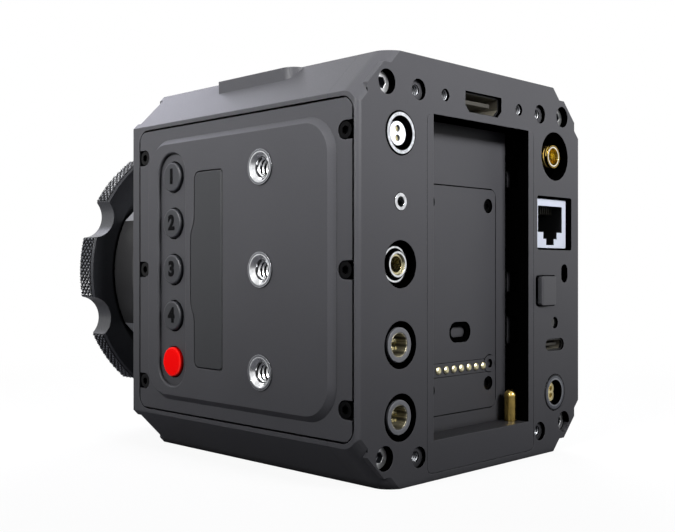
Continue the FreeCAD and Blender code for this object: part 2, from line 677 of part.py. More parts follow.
def rear_housing():
    """The rear frame: flared corners with raised screw bosses, windows for the tray and every connector."""
    body = new_body("rear_housing")
    pad(body, "y", SEAM, REAR, octagon("0", "edge_chamfer"))
    for turn in (45, -45, 135, -135):
        flare(body, turn)
    back = number(REAR)
    side = number(SIDE)
    dress(body, "Fillet", "rear_round", lambda edge: runs(edge, "z") and lies(edge, "y", back)
          and (lies(edge, "x", side) or lies(edge, "x", -side)))
    bosses = []
    for sign in ("", "-"):
        for level, up in (("body_height", "-"), ("0", "+")):
            far = "(boss_leg + 3.4)"
            bosses.append(polygon(
                (f"{sign}({SIDE} - boss_inset)", f"{level} {up} (boss_leg - boss_inset)"),
                (f"{sign}({SIDE} - (boss_leg - boss_inset))", f"{level} {up} boss_inset"),
                (f"{sign}({SIDE} - {far})", f"{level} {up} boss_inset"),
                (f"{sign}({SIDE} - {far})", f"{level} {up} {far}"),
                (f"{sign}({SIDE} - boss_inset)", f"{level} {up} {far}")))
    pad(body, "y", f"{SEAM} + 1", REAR, *bosses)
    for low, high in ((COVER_BACK, f"{SIDE} + 1"), (f"-({SIDE} + 1)", f"-{COVER_BACK}")):
        pocket(body, "x", low, high, cover_outline("cover_gap"))
    pocket(body, "y", SEAM, REAR, rounded("-(tray_width / 2 + tray_gap)", "tray_bottom - tray_gap",
                                          "tray_width / 2 + tray_gap", "bay_top", "tray_corner"))
    for low, high in (("tray_width / 2 + tray_web", f"{SIDE} - wall"),
                      (f"-({SIDE} - wall)", "-(tray_width / 2 + tray_web)")):
        pocket(body, "y", SEAM, f"{REAR} - 4", rounded(low, "13", high, "body_height - 13", "1"))
    pocket(body, "y", SEAM, REAR, *(circle(a, b, "screw_clearance") for a, b in corner_spots()))
    pocket(body, "y", f"{REAR} - 4.2", REAR, *(circle(a, b, "corner_screw_radius")
                                               for a, b in corner_spots()))
    spots = accessory_spots()
    pocket(body, "y", f"{REAR} - 6", REAR, *(circle(a, b, "accessory_radius") for a, b in spots))
    pocket(body, "y", f"{REAR} - 1.1", REAR, *(circle(a, b, "accessory_recess") for a, b in spots))
    locks = ("lock_span / 2", "-lock_span / 2")
    pocket(body, "y", f"{REAR} - 6", REAR, *(circle(a, f"{ACCESSORY_TOP}", "lock_radius") for a in locks))
    rounds = (("left_column", "dc_height", "dc_radius"), ("left_column", "jack_height", "jack_radius"),
              ("-right_column", "aux_height", "aux_radius"))
    pocket(body, "y", SEAM, REAR, *(circle(a, b, f"{c} + socket_gap") for a, b, c in rounds))
    recesses = (("left_column", "video_height", "recess_radius"),
                ("left_column", "multi_height_top", "recess_radius"),
                ("left_column", "multi_height_base", "recess_radius"),
                ("-right_column", "antenna_height", "antenna_recess"),
                ("-right_column", "lamp_height", "lamp_radius"))
    pocket(body, "y", SEAM, REAR, *(circle(a, b, c) for a, b, c in recesses))
    pocket(body, "y", f"{REAR} - 4", REAR, network_outline("network_window"))
    pocket(body, "y", f"{REAR} - 4", REAR, power_outline("button_gap", "power_finger"))
    pocket(body, "y", f"{REAR} - 3", REAR, oval(f"-({SIDE} - eyelet_inset)", "eyelet_height", "3.2", "5.1"))
    pocket(body, "y", f"{REAR} - 4", REAR, oval("-right_column", "usb_height", "usb_width", "usb_tall"))
    pocket(body, "y", SEAM, REAR, hdmi_outline("0"))
    return keep("rear_housing", body)


def flare(body, turn):
    """A shallow arc cut that lets one chamfer fall away towards the rear face."""
    sketch = body.newObject("Sketcher::SketchObject", "flare_outline")
    plane = next(item for item in body.Origin.OriginFeatures if item.Role == "XY_Plane")
    sketch.AttachmentSupport = [(plane, "")]
    sketch.MapMode = "FlatFace"
    sketch.AttachmentOffset = FreeCAD.Placement(FreeCAD.Vector(0, 0, 0),
                                                FreeCAD.Rotation(FreeCAD.Vector(0, 1, 0), turn))
    upper = abs(turn) < 90
    reach = f"((body_width / 2 + body_height - edge_chamfer) * {DIAGONAL})"
    if not upper:
        reach = f"((body_width / 2 - edge_chamfer) * {DIAGONAL})"
    radius = "((flare_length ^ 2 + flare_depth ^ 2) / (2 * flare_depth))"
    start = f"({REAR} - flare_length)"
    steps = 8
    curve = [(f"{reach} - {radius} + sqrt({radius} ^ 2 - (flare_length * {i / steps}) ^ 2)",
              f"{start} + flare_length * {i / steps}") for i in range(steps + 1)]
    side = "-" if turn in (45, -135) else ""
    corners = [(f"{side}({a})", b) for a, b in curve]
    corners.append((f"{side}({reach} - flare_depth)", f"{REAR} + 1"))
    corners.append((f"{side}({reach} + 1)", f"{REAR} + 1"))
    corners.append((f"{side}({reach} + 1)", start))
    polygon(*corners)(sketch)
    feature = body.newObject("PartDesign::Pocket", "flare")
    feature.Profile = sketch
    feature.Midplane = True
    feature.setExpression("Length", bound("4 * body_height"))
    doc.recompute()


ACCESSORY_TOP = "(body_height - accessory_drop)"


def accessory_spots():
    return [(f"{sign}accessory_span_x / 2", level) for sign in ("", "-")
            for level in ("accessory_base", ACCESSORY_TOP)]


def network_outline(gap):
    return rounded(f"-right_column - network_width / 2 - {gap}",
                   f"network_height - network_tall / 2 - {gap}",
                   f"-right_column + network_width / 2 + {gap}",
                   f"network_height + network_tall / 2 + {gap}", "0.8")


POWER_MIDDLE = "(-right_column + 4)"


def power_outline(gap, finger="0"):
    """The power button stands nearer the bay than the other right-hand connectors."""
    return rounded(f"{POWER_MIDDLE} - power_width / 2 - {gap}", f"power_height - power_tall / 2 - {gap}",
                   f"{POWER_MIDDLE} + power_width / 2 + {gap} + {finger}",
                   f"power_height + power_tall / 2 + {gap}", f"0.8 + {gap}")


def hdmi_outline(gap):
    """The video port's outline, with its two lower corners cut."""
    wide = f"(hdmi_width / 2 + {gap})"
    high = f"(hdmi_height + hdmi_tall / 2 + {gap})"
    low = f"(hdmi_height - hdmi_tall / 2 - {gap})"
    return polygon((f"-{wide}", high), (f"-{wide}", f"{low} + 1.7"), (f"-{wide} + 1.7", low),
                   (f"{wide} - 1.7", low), (wide, f"{low} + 1.7"), (wide, high))


def battery_tray():
    """The open-topped trough that takes a sliding battery, with notches for its rails."""
    body = new_body("battery_tray")
    pad(body, "y", SEAM, REAR, polygon(("-tray_width / 2", "tray_bottom"),
                                       ("tray_width / 2", "tray_bottom"),
                                       ("tray_width / 2", "bay_top"), ("-tray_width / 2", "bay_top")))
    dress(body, "Fillet", "tray_corner - tray_gap", lambda edge: runs(edge, "y"))
    pocket(body, "y", BAY_BACK, REAR, polygon(("-bay_width / 2", "bay_floor"),
                                              ("bay_width / 2", "bay_floor"),
                                              ("bay_width / 2", "bay_top + 1"),
                                              ("-bay_width / 2", "bay_top + 1")))
    pocket(body, "y", PLATE_BACK, BAY_BACK, plate_outline("0"))
    for low, high in (("bay_width / 2", "bay_width / 2 + 1.4"), ("-bay_width / 2 - 1.4", "-bay_width / 2")):
        notches = (("29.8", "37.2"), ("43.8", "49.2"), ("72", "76.4"))
        pocket(body, "x", low, high, *(polygon((f"{BAY_BACK} + 0.6", a), (f"{BAY_BACK} + 4.2", a),
                                               (f"{BAY_BACK} + 4.2", b), (f"{BAY_BACK} + 0.6", b))
                                       for a, b in notches))
    return keep("battery_tray", body)


def plate_outline(gap):
    return rounded(f"-plate_width / 2 - {gap}", f"plate_bottom - {gap}", f"plate_width / 2 + {gap}",
                   f"plate_top + {gap}", f"plate_corner + {gap}")


def plate_screw_spots():
    return [(f"{sign}plate_screw_span / 2", level) for sign in ("", "-")
            for level in ("plate_bottom + plate_screw_margin + 1", "plate_top - plate_screw_margin + 1")]


STRIP_EAR = "(-(strip_length / 2) - 1.6)"


def bay_plate():
    """The plate at the back of the bay, with counterbores, a slot for the latch and the strip's place."""
    body = new_body("bay_plate")
    pad(body, "y", PLATE_BACK, BAY_BACK, plate_outline("-tray_gap"))
    pocket(body, "y", PLATE_BACK, BAY_BACK, *(circle(a, b, "plate_screw_radius")
                                              for a, b in plate_screw_spots()))
    pocket(body, "y", PLATE_BACK, BAY_BACK, oval("0", "latch_height", "6.3", "2.7"))
    pocket(body, "y", f"{BAY_BACK} - 0.5", BAY_BACK, oval("0", "latch_height", "8.8", "5.3"))
    pocket(body, "y", PLATE_BACK, BAY_BACK, strip_outline("tray_gap"))
    pocket(body, "y", PLATE_BACK, BAY_BACK, circle(STRIP_EAR, "strip_middle + 0.4", "strip_ear + tray_gap"))
    return keep("bay_plate", body)


def strip_outline(gap):
    return rounded(f"{STRIP_EAR} - {gap}", f"strip_middle - strip_height / 2 - {gap}",
                   f"strip_length / 2 + {gap}", f"strip_middle + strip_height / 2 + {gap}", f"0.4 + {gap}")


def contact_strip():
    body = new_body("contact_strip")
    pad(body, "y", PLATE_BACK, f"{BAY_BACK} - 0.1", strip_outline("0"))
    pad(body, "y", PLATE_BACK, f"{BAY_BACK} + 0.1", circle(STRIP_EAR, "strip_middle + 0.4", "strip_ear"))
    pocket(body, "y", f"{BAY_BACK} - 0.7", f"{BAY_BACK} + 0.1",
           circle(STRIP_EAR, "strip_middle + 0.4", "1.2"))
    spots = contact_spots()
    pocket(body, "y", PLATE_BACK, f"{BAY_BACK} + 0.1",
           *(circle(a, "strip_middle", "contact_radius") for a in spots))
    return keep("contact_strip", body)


def contact_spots():
    count = int(number("contact_count"))
    return [f"strip_length / 2 - 2.2 - contact_pitch * {i}" for i in range(count)]


def bay_metal():
    pads = [fuse(rod("y", (a, PLATE_BACK, "strip_middle"), f"{BAY_BACK} + 0.2 - {PLATE_BACK}",
                     "contact_radius"),
                 cone("y", (a, f"{BAY_BACK} + 0.2", "strip_middle"), "0.25", "contact_radius",
                      "contact_radius - 0.35"))
            for a in contact_spots()]
    keep("battery_contacts", group(*pads))
    pins = []
    for sign in ("", "-"):
        base = (f"{sign}pin_span / 2", f"{REAR} - pin_setback")
        pins.append(fuse(rod("z", base + ("bay_floor",), "pin_height - pin_radius", "pin_radius"),
                         ball(base + ("bay_floor + pin_height - pin_radius",), "pin_radius")))
    keep("terminal_pins", group(*pins))
    screws = [cut(rod("y", (a, PLATE_BACK, b), "0.8", "plate_screw_radius - 0.25"),
                  prism("y", (a, f"{PLATE_BACK} + 0.3", b), "0.5", "0.8")) for a, b in plate_screw_spots()]
    keep("bay_plate_screws", group(*screws))


# Side covers and what they carry
def panel_outline(gap):
    return rounded(f"{COVER_FRONT} + panel_margin_long + {gap}",
                   f"{MIDDLE} - cover_height / 2 + panel_margin_high + {gap}",
                   f"{COVER_REAR} - panel_margin_long - {gap}",
                   f"{MIDDLE} + cover_height / 2 - panel_margin_high - {gap}",
                   f"panel_corner - {gap}")


def cover_screw_spots():
    return [(line, f"{MIDDLE} + cover_screw_pitch * {step}")
            for line in (f"{COVER_REAR} - cover_screw_inset", f"{COVER_FRONT} + cover_screw_inset")
            for step in (-1, 0, 1)]


def notch_mouth(line, level):
    """Opens a screw's round recess to the nearest edge of the cover."""
    rear = number(line) > number(f"({COVER_REAR} + {COVER_FRONT}) / 2")
    edge = f"({COVER_REAR} + 1)" if rear else f"({COVER_FRONT} - 1)"
    half = "(cover_screw_radius + 0.25)"
    return polygon((line, f"{level} - {half}"), (edge, f"{level} - {half}"),
                   (edge, f"{level} + {half}"), (line, f"{level} + {half}"))


def insert_spots(right):
    """Three inserts on the operator's side, two on the right, where the fan takes the middle."""
    return [(f"{REAR} - insert_inset", f"{MIDDLE} + insert_pitch * {step}")
            for step in ((-1, 1) if right else (-1, 0, 1))]


def button_spots():
    return [(BUTTON_LINE, f"{MIDDLE} + button_pitch * {step}") for step in (2, 1, 0, -1, -2)]


def cover_blank(name, near, face, high):
    """A cover's flange and raised panel, with open screw notches and holes for the inserts.

    near, face and high are the back, side plane and panel planes, low to high along X.
    """
    body = new_body(name)
    right = number(face) < 0
    flange = (face, near) if right else (near, face)
    panel = (high, face) if right else (face, high)
    pad(body, "x", *flange, cover_outline("0"))
    pad(body, "x", *panel, panel_outline("0"))
    level = number(high)
    dress(body, "Chamfer", "panel_rise - 0.1", lambda edge: lies(edge, "x", level))
    notch = (face, f"{face} + 1.8") if right else (f"{face} - 1.8", face)
    pocket(body, "x", *notch, *(circle(a, b, "cover_screw_radius + 0.25") for a, b in cover_screw_spots()))
    pocket(body, "x", *notch, *(notch_mouth(a, b) for a, b in cover_screw_spots()))
    pocket(body, "x", *flange, *(circle(a, b, "1.1") for a, b in cover_screw_spots()))
    whole = (high, near) if right else (near, high)
    pocket(body, "x", *whole, *(circle(a, b, "insert_radius") for a, b in insert_spots(right)))
    return body


def left_side_cover():
    """The operator's cover: button groove, retaining counterbores and the card door's seat."""
    body = cover_blank("left_side_cover", COVER_BACK, SIDE, PANEL)
    pocket(body, "x", GROOVE, PANEL, rounded(f"{BUTTON_LINE} - groove_width / 2",
                                             f"{MIDDLE} - groove_height / 2",
                                             f"{BUTTON_LINE} + groove_width / 2",
                                             f"{MIDDLE} + groove_height / 2",
                                             "groove_width / 2 - 0.3"))
    level = number(PANEL)
    front, back = number(f"{BUTTON_LINE} - groove_width / 2"), number(f"{BUTTON_LINE} + groove_width / 2")
    dress(body, "Fillet", "groove_soft", lambda edge: lies(edge, "x", level)
          and edge.BoundBox.YMin > front - 0.01 and edge.BoundBox.YMax < back + 0.01)
    spots = button_spots()
    pocket(body, "x", COVER_BACK, PANEL, *(circle(a, b, "button_radius + button_gap") for a, b in spots))
    pocket(body, "x", COVER_BACK, f"{COVER_BACK} + counterbore_depth",
           *(circle(a, b, "button_radius + button_flange + button_gap") for a, b in spots))
    pocket(body, "x", f"{PANEL} - door_thickness - 0.1", PANEL,
           door_outline("door_gap", "hinge_pocket_corner"))
    pocket(body, "x", COVER_BACK, PANEL, rounded(
        f"{SLOT_MIDDLE} - card_slot_gap / 2 - 1", f"{MIDDLE} - card_slot_height / 2 - 1",
        f"{SLOT_MIDDLE} + card_slot_gap / 2 + 1", f"{MIDDLE} + card_slot_height / 2 + 1", "1"))
    reach = "(door_height / 2 + door_gap)"
    for low, high in ((f"{MIDDLE} + {reach} - door_corner / 2", f"{MIDDLE} + {reach} + stub_length"),
                      (f"{MIDDLE} - {reach} - stub_length", f"{MIDDLE} - {reach} + door_corner / 2")):
        pocket(body, "z", low, high, circle(f"{PANEL} - door_thickness / 2", DOOR_HINGE,
                                            "stub_radius + stub_fit"))
    return keep("left_side_cover", body)


def round_corner(across, up, side, end, radius):
    """Points of a quarter circle that rounds the corner at a place, for an outline drawn clockwise."""
    steps = [i * 22.5 * DEGREE for i in range(5)]
    points = [(f"{across} - ({side}) * {radius} * {1 - math.sin(a):.6f}",
               f"{up} - ({end}) * {radius} * {1 - math.cos(a):.6f}")
              for a in steps]
    return points if side == end else points[::-1]


def door_outline(gap, hinge_round):
    """A round-cornered door whose free edge bulges into a finger tab."""
    front = f"({REAR} - door_inset - door_width - {gap})"
    back = f"({REAR} - door_inset + {gap})"
    high = f"({MIDDLE} + door_height / 2 + {gap})"
    low = f"({MIDDLE} - door_height / 2 - {gap})"
    round_off = f"(door_corner + {gap})"
    tab_high = f"({MIDDLE} + tab_height / 2)"
    tab_low = f"({MIDDLE} - tab_height / 2)"
    tab = f"({front} - tab_reach)"
    bulge = ((front, f"{tab_low} - 4.6"), (f"{front} - tab_reach * 0.16", f"{tab_low} - 3"),
             (f"{front} - tab_reach * 0.84", f"{tab_low} - 0.6"),
             (tab, f"{tab_low} + 1.2"), (tab, f"{tab_high} - 1.2"),
             (f"{front} - tab_reach * 0.84", f"{tab_high} + 0.6"),
             (f"{front} - tab_reach * 0.16", f"{tab_high} + 3"), (front, f"{tab_high} + 4.6"))
    return polygon(*round_corner(front, low, -1, -1, round_off), *bulge,
                   *round_corner(front, high, -1, 1, round_off),
                   *round_corner(back, high, 1, 1, hinge_round),
                   *round_corner(back, low, 1, -1, hinge_round))


def card_door():
    """A moulded flap with a half-round hinge edge and two stubs that snap into the cover."""
    body = new_body("card_door")
    pad(body, "x", f"{PANEL} - door_thickness", PANEL, door_outline("0", "hinge_corner"))
    hinge_y = number(f"{REAR} - door_inset")
    dress(body, "Fillet", "door_thickness / 2 - 0.02",
          lambda edge: runs(edge, "z") and lies(edge, "y", hinge_y))
    length = "(door_height + 2 * door_gap + 2 * stub_length - 0.3)"
    pad(body, "z", f"{MIDDLE} - {length} / 2", f"{MIDDLE} + {length} / 2",
        circle(f"{PANEL} - door_thickness / 2", DOOR_HINGE, "stub_radius"))
    keep("card_door", body)


def buttons():
    """Each cap has a wider flange behind the cover, which keeps it in and meets the dome."""
    names = ("button_1", "button_2", "button_3", "button_4", "record_button")
    flange_top = f"({COVER_BACK} + counterbore_depth - 0.05)"
    for name, (a, b) in zip(names, button_spots()):
        body = new_body(name)
        pad(body, "x", f"{flange_top} - flange_height", PANEL, circle(a, b, "button_radius"))
        level = number(PANEL)
        dress(body, "Fillet", "0.5", lambda edge: lies(edge, "x", level))
        pad(body, "x", f"{flange_top} - flange_height", flange_top,
            circle(a, b, "button_radius + button_flange"))
        keep(name, body)
    board = new_body("button_board")
    pad(board, "x", f"{COVER_BACK} - board_thickness", COVER_BACK, rounded(
        f"{BUTTON_LINE} - groove_width / 2 + 0.3", f"{MIDDLE} - groove_height / 2",
        f"{BUTTON_LINE} + groove_width / 2 - 0.3", f"{MIDDLE} + groove_height / 2", "1"))
    menu = new_body("menu_board")
    pad(menu, "z", "body_height - wall - board_thickness", "body_height - wall", menu_board_outline("0"))
    keep("button_boards", group(board, menu))
    domes = [cone("x", (COVER_BACK, a, b), "dome_height", "3", "1.6") for a, b in button_spots()]
    keep("button_domes", group(*domes))


def card_slot():
    """The card socket: a deep blind slot with a row of pins at its end."""
    y0 = f"{SLOT_MIDDLE} - card_slot_gap / 2 - card_slot_wall"
    z0 = f"{MIDDLE} - card_slot_height / 2 - card_slot_wall"
    z1 = f"{MIDDLE} + card_slot_height / 2 + card_slot_wall"
    body = new_body("card_slot")
    pad(body, "x", f"{COVER_BACK} - card_slot_depth", COVER_BACK,
        polygon((y0, z0), (BOARD_FRONT, z0), (BOARD_FRONT, z1), (y0, z1)))
    pocket(body, "x", f"{COVER_BACK} - card_slot_depth + 2", COVER_BACK, polygon(
        (f"{SLOT_MIDDLE} - card_slot_gap / 2", f"{MIDDLE} - card_slot_height / 2"),
        (f"{SLOT_MIDDLE} + card_slot_gap / 2", f"{MIDDLE} - card_slot_height / 2"),
        (f"{SLOT_MIDDLE} + card_slot_gap / 2", f"{MIDDLE} + card_slot_height / 2"),
        (f"{SLOT_MIDDLE} - card_slot_gap / 2", f"{MIDDLE} + card_slot_height / 2")))
    keep("card_slot", body)


def right_side_cover():
    """The cover over the fan, with a row of vent slots through its raised panel."""
    body = cover_blank("right_side_cover", f"-{COVER_BACK}", f"-{SIDE}", f"-{PANEL}")
    first = f"({FAN_MIDDLE} - vent_pitch * (vent_count - 1) / 2)"
    pocket(body, "x", f"-{PANEL}", f"-{COVER_BACK}", rounded(
        f"{first} - vent_width / 2", f"{MIDDLE} - fan_size / 2 + 2", f"{first} + vent_width / 2",
        f"{MIDDLE} + fan_size / 2 - 2", "vent_width / 2 - 0.05"))
    repeat(body, "vent_pitch * (vent_count - 1)", "vent_count")
    return keep("right_side_cover", body)


def side_fasteners():
    screws = []
    for a, b in cover_screw_spots():
        screws.append(socket_screw("x", (f"{SIDE} - 1.8", a, b), "1.7", "cover_screw_radius", "1.2",
                                   "1.05", "1"))
        screws.append(socket_screw("-x", (f"-({SIDE} - 1.8)", a, b), "1.7", "cover_screw_radius", "1.2",
                                   "1.05", "1"))
    keep("side_cover_screws", group(*screws))
    inserts = []
    for right in (False, True):
        for spot in insert_spots(right):
            inserts.append(threaded_insert(f"-{PANEL}" if right else PANEL, right, spot))
    keep("side_inserts", group(*inserts))
    ends = []
    for spot in tripod_spots():
        ends.append(plain_insert(("0", spot, "0")))
        ends.append(plain_insert(("0", spot, "body_height - wall - board_ledge")))
    keep("tripod_inserts", group(*ends))


def threaded_insert(face, right, spot):
    """A flanged steel insert: rim outside the panel, body through it, open bore."""
    inner = face if right else f"{face} - insert_length"
    rim = f"{face} - insert_rim" if right else face
    shell = rod("x", (inner,) + spot, "insert_length", "insert_radius")
    flange = rod("x", (rim,) + spot, "insert_rim", "insert_flange")
    bore = rod("x", (rim if right else inner,) + spot, "insert_length + insert_rim", "insert_bore")
    wide = "(insert_bore + insert_lead)"
    if right:
        lead = cone("x", (rim,) + spot, "insert_lead", wide, "insert_bore")
    else:
        lead = cone("x", (f"{face} + insert_rim - insert_lead",) + spot, "insert_lead", "insert_bore", wide)
    return cut(fuse(shell, flange), bore, lead)


def plain_insert(base):
    return tube("z", base, "wall + board_ledge", "insert_radius", "insert_bore")


# Lens mount
def neck_flat_cuts():
    """Corners to cut off the neck, so that it has four diagonal flats."""
    near, far = "(neck_flats / 2)", "(neck_radius + 4)"
    turned = []
    for a, b in ((1, 1), (-1, 1), (-1, -1), (1, -1)):
        corners = [(near, f"-{far}"), (near, far), (far, far), (far, f"-{far}")]
        turned.append(polygon(*((f"{DIAGONAL} * (({a}) * ({p}) - ({b}) * ({q}))",
                                 f"{AXIS} + {DIAGONAL} * (({b}) * ({p}) + ({a}) * ({q}))")
                                 for p, q in corners)))
    return turned


def mount_block():
    """The round neck between box and ring, flatted on four diagonals, on a base screwed to the box."""
    body = new_body("mount_block")
    base_front = f"({FRONT} - base_thickness)"
    pad(body, "y", MOUNT, FRONT, circle("0", AXIS, "neck_radius"))
    for outline in neck_flat_cuts():
        pocket(body, "y", MOUNT, FRONT, outline)
    pad(body, "y", base_front, FRONT, circle("0", AXIS, "base_radius"))
    level = number(base_front)
    wide = number("base_radius")
    dress(body, "Chamfer", "0.8", lambda edge: lies(edge, "y", level)
          and edge.Curve.TypeId == "Part::GeomCircle" and abs(edge.Curve.Radius - wide) < 1e-4)
    pad(body, "y", FLANGE_BACK, MOUNT, circle("0", AXIS, "ring_bore - ring_fit"))
    pocket(body, "y", FLANGE_BACK, FRONT, circle("0", AXIS, "throat_radius"))
    spots = list(block_screw_spots())
    seat = f"({FRONT} - 1.2)"
    pocket(body, "y", seat, FRONT, *(circle(a, b, "screw_clearance") for a, b in spots))
    pocket(body, "y", base_front, seat, *(circle(a, b, "screw_head_seat") for a, b in spots))
    keep("mount_block", body)
    return [socket_screw("-y", (a, seat, b), "base_thickness - 1.4", "screw_head", "5.2", "screw_tapping",
                         "1.6")
            for a, b in spots]


def sector(inner, outer, half):
    """Part of an annulus round the lens axis, centred on the upright."""
    def draw(sketch):
        middle = FreeCAD.Vector(0, number(AXIS), 0)
        low, high = (90 - number(half)) * DEGREE, (90 + number(half)) * DEGREE
        arcs = []
        for radius in (inner, outer):
            base = Part.Circle(middle, FreeCAD.Vector(0, 0, 1), number(radius))
            arc = sketch.addGeometry(Part.ArcOfCircle(base, low, high), False)
            pin_point(sketch, arc, 3, "0", AXIS)
            held = sketch.addConstraint(Sketcher.Constraint("Radius", arc, number(radius)))
            sketch.setExpression("Constraints[%d]" % held, bound(radius))
            for end, sign in ((1, ""), (2, "-")):
                reach = f"{sign}{radius} * sin({half} * 1 deg)"
                held = sketch.addConstraint(
                    Sketcher.Constraint("DistanceX", -1, 1, arc, end, number(reach)))
                sketch.setExpression("Constraints[%d]" % held, bound(reach))
            arcs.append(arc)
        for end in (1, 2):
            starts = [sketch.getPoint(arc, end) for arc in arcs]
            line = sketch.addGeometry(Part.LineSegment(*starts), False)
            for i in (0, 1):
                sketch.addConstraint(Sketcher.Constraint("Coincident", line, i + 1, arcs[i], end))
    return draw


def lens_axis(body):
    """A sketch with one construction line along the lens axis, for patterns round it."""
    sketch = body.newObject("Sketcher::SketchObject", "ring_axis")
    plane = next(item for item in body.Origin.OriginFeatures if item.Role == "XY_Plane")
    sketch.AttachmentSupport = [(plane, "")]
    sketch.MapMode = "FlatFace"
    sketch.setExpression("AttachmentOffset.Base.z", bound(AXIS))
    line = sketch.addGeometry(Part.LineSegment(FreeCAD.Vector(0, -1, 0), FreeCAD.Vector(0, 1, 0)), True)
    for end, level in ((1, -1), (2, 1)):
        sketch.addConstraint(Sketcher.Constraint("DistanceX", -1, 1, line, end, 0))
        sketch.addConstraint(Sketcher.Constraint("DistanceY", -1, 1, line, end, level))
    return sketch


def repeat_round(body, axis_sketch, count):
    """Repeat the last feature evenly round the lens axis."""
    last = body.Tip
    pattern = body.newObject("PartDesign::PolarPattern", body.Name + "_round")
    pattern.Originals = [last]
    pattern.Axis = (axis_sketch, ["Axis0"])
    pattern.Angle = 360
    pattern.setExpression("Occurrences", bound(count))
    body.Tip = pattern
    doc.recompute()


def locking_ring():
    """The breech ring: finger scallops outside, lugs at its mouth that clamp a lens's wings."""
    body = new_body("locking_ring")
    pad(body, "y", RING_FRONT, RING_BACK, circle("0", AXIS, "ring_radius"), circle("0", AXIS, "ring_bore"))
    axis_sketch = lens_axis(body)
    pocket(body, "y", f"{RING_BACK} - ring_back_depth", RING_BACK, circle("0", AXIS, "ring_back_recess"))
    pocket(body, "y", f"{RING_FRONT} + lug_thickness", f"{RING_FRONT} + ring_lip_depth",
           circle("0", AXIS, MOUTH))
    outer = number("ring_radius")
    dress(body, "Chamfer", "0.5", lambda edge: edge.Curve.TypeId == "Part::GeomCircle"
          and abs(edge.Curve.Radius - outer) < 1e-4 and edge.isClosed())
    pocket(body, "y", RING_FRONT, f"{RING_FRONT} + lug_thickness",
           sector("(ring_bore - 1)", MOUTH, "lug_gap_half"))
    repeat_round(body, axis_sketch, "lug_count")
    middle = "(scallop_bottom + scallop_radius)"
    pocket(body, "y", RING_FRONT, RING_BACK,
           circle(f"{middle} * cos(scallop_turn * 1 deg)",
                  f"{AXIS} + {middle} * sin(scallop_turn * 1 deg)", "scallop_radius"))
    repeat_round(body, axis_sketch, "scallop_count")
    keep("locking_ring", body)


def mount_flange():
    """The steel flange plate that a lens seats on, with the pin that sets the lens's turn."""
    body = new_body("mount_flange")
    pad(body, "y", FLANGE_FRONT, FLANGE_BACK, circle("0", AXIS, "seat_radius"),
        circle("0", AXIS, "throat_radius"))
    pad(body, "y", f"{FLANGE_FRONT} + seat_rise", FLANGE_BACK, circle("0", AXIS, "flange_radius"),
        circle("0", AXIS, "throat_radius"))
    pad(body, "y", f"{FLANGE_FRONT} - index_pin_height", FLANGE_FRONT,
        circle("0", f"{AXIS} + (throat_radius + ring_bore) / 2", "index_pin_radius"))
    pocket(body, "y", FLANGE_FRONT, FLANGE_BACK,
           *(circle(a, b, "flange_screw") for a, b in flange_screw_spots()))
    keep("mount_flange", body)
    screws = [cut(cone("y", (a, FLANGE_FRONT, b), "1", "flange_screw - 0.03", "flange_screw - 0.03"),
                  prism("y", (a, FLANGE_FRONT, b), "0.6", "0.6"))
              for a, b in flange_screw_spots()]
    return screws


def flange_screw_spots():
    reach = "((throat_radius + ring_bore) / 2)"
    return [(f"{reach} * {a}", f"{AXIS} + {reach} * {b}")
            for a, b in ((DIAGONAL, DIAGONAL), (f"(-{DIAGONAL})", DIAGONAL),
                         (DIAGONAL, f"(-{DIAGONAL})"), (f"(-{DIAGONAL})", f"(-{DIAGONAL})"))]


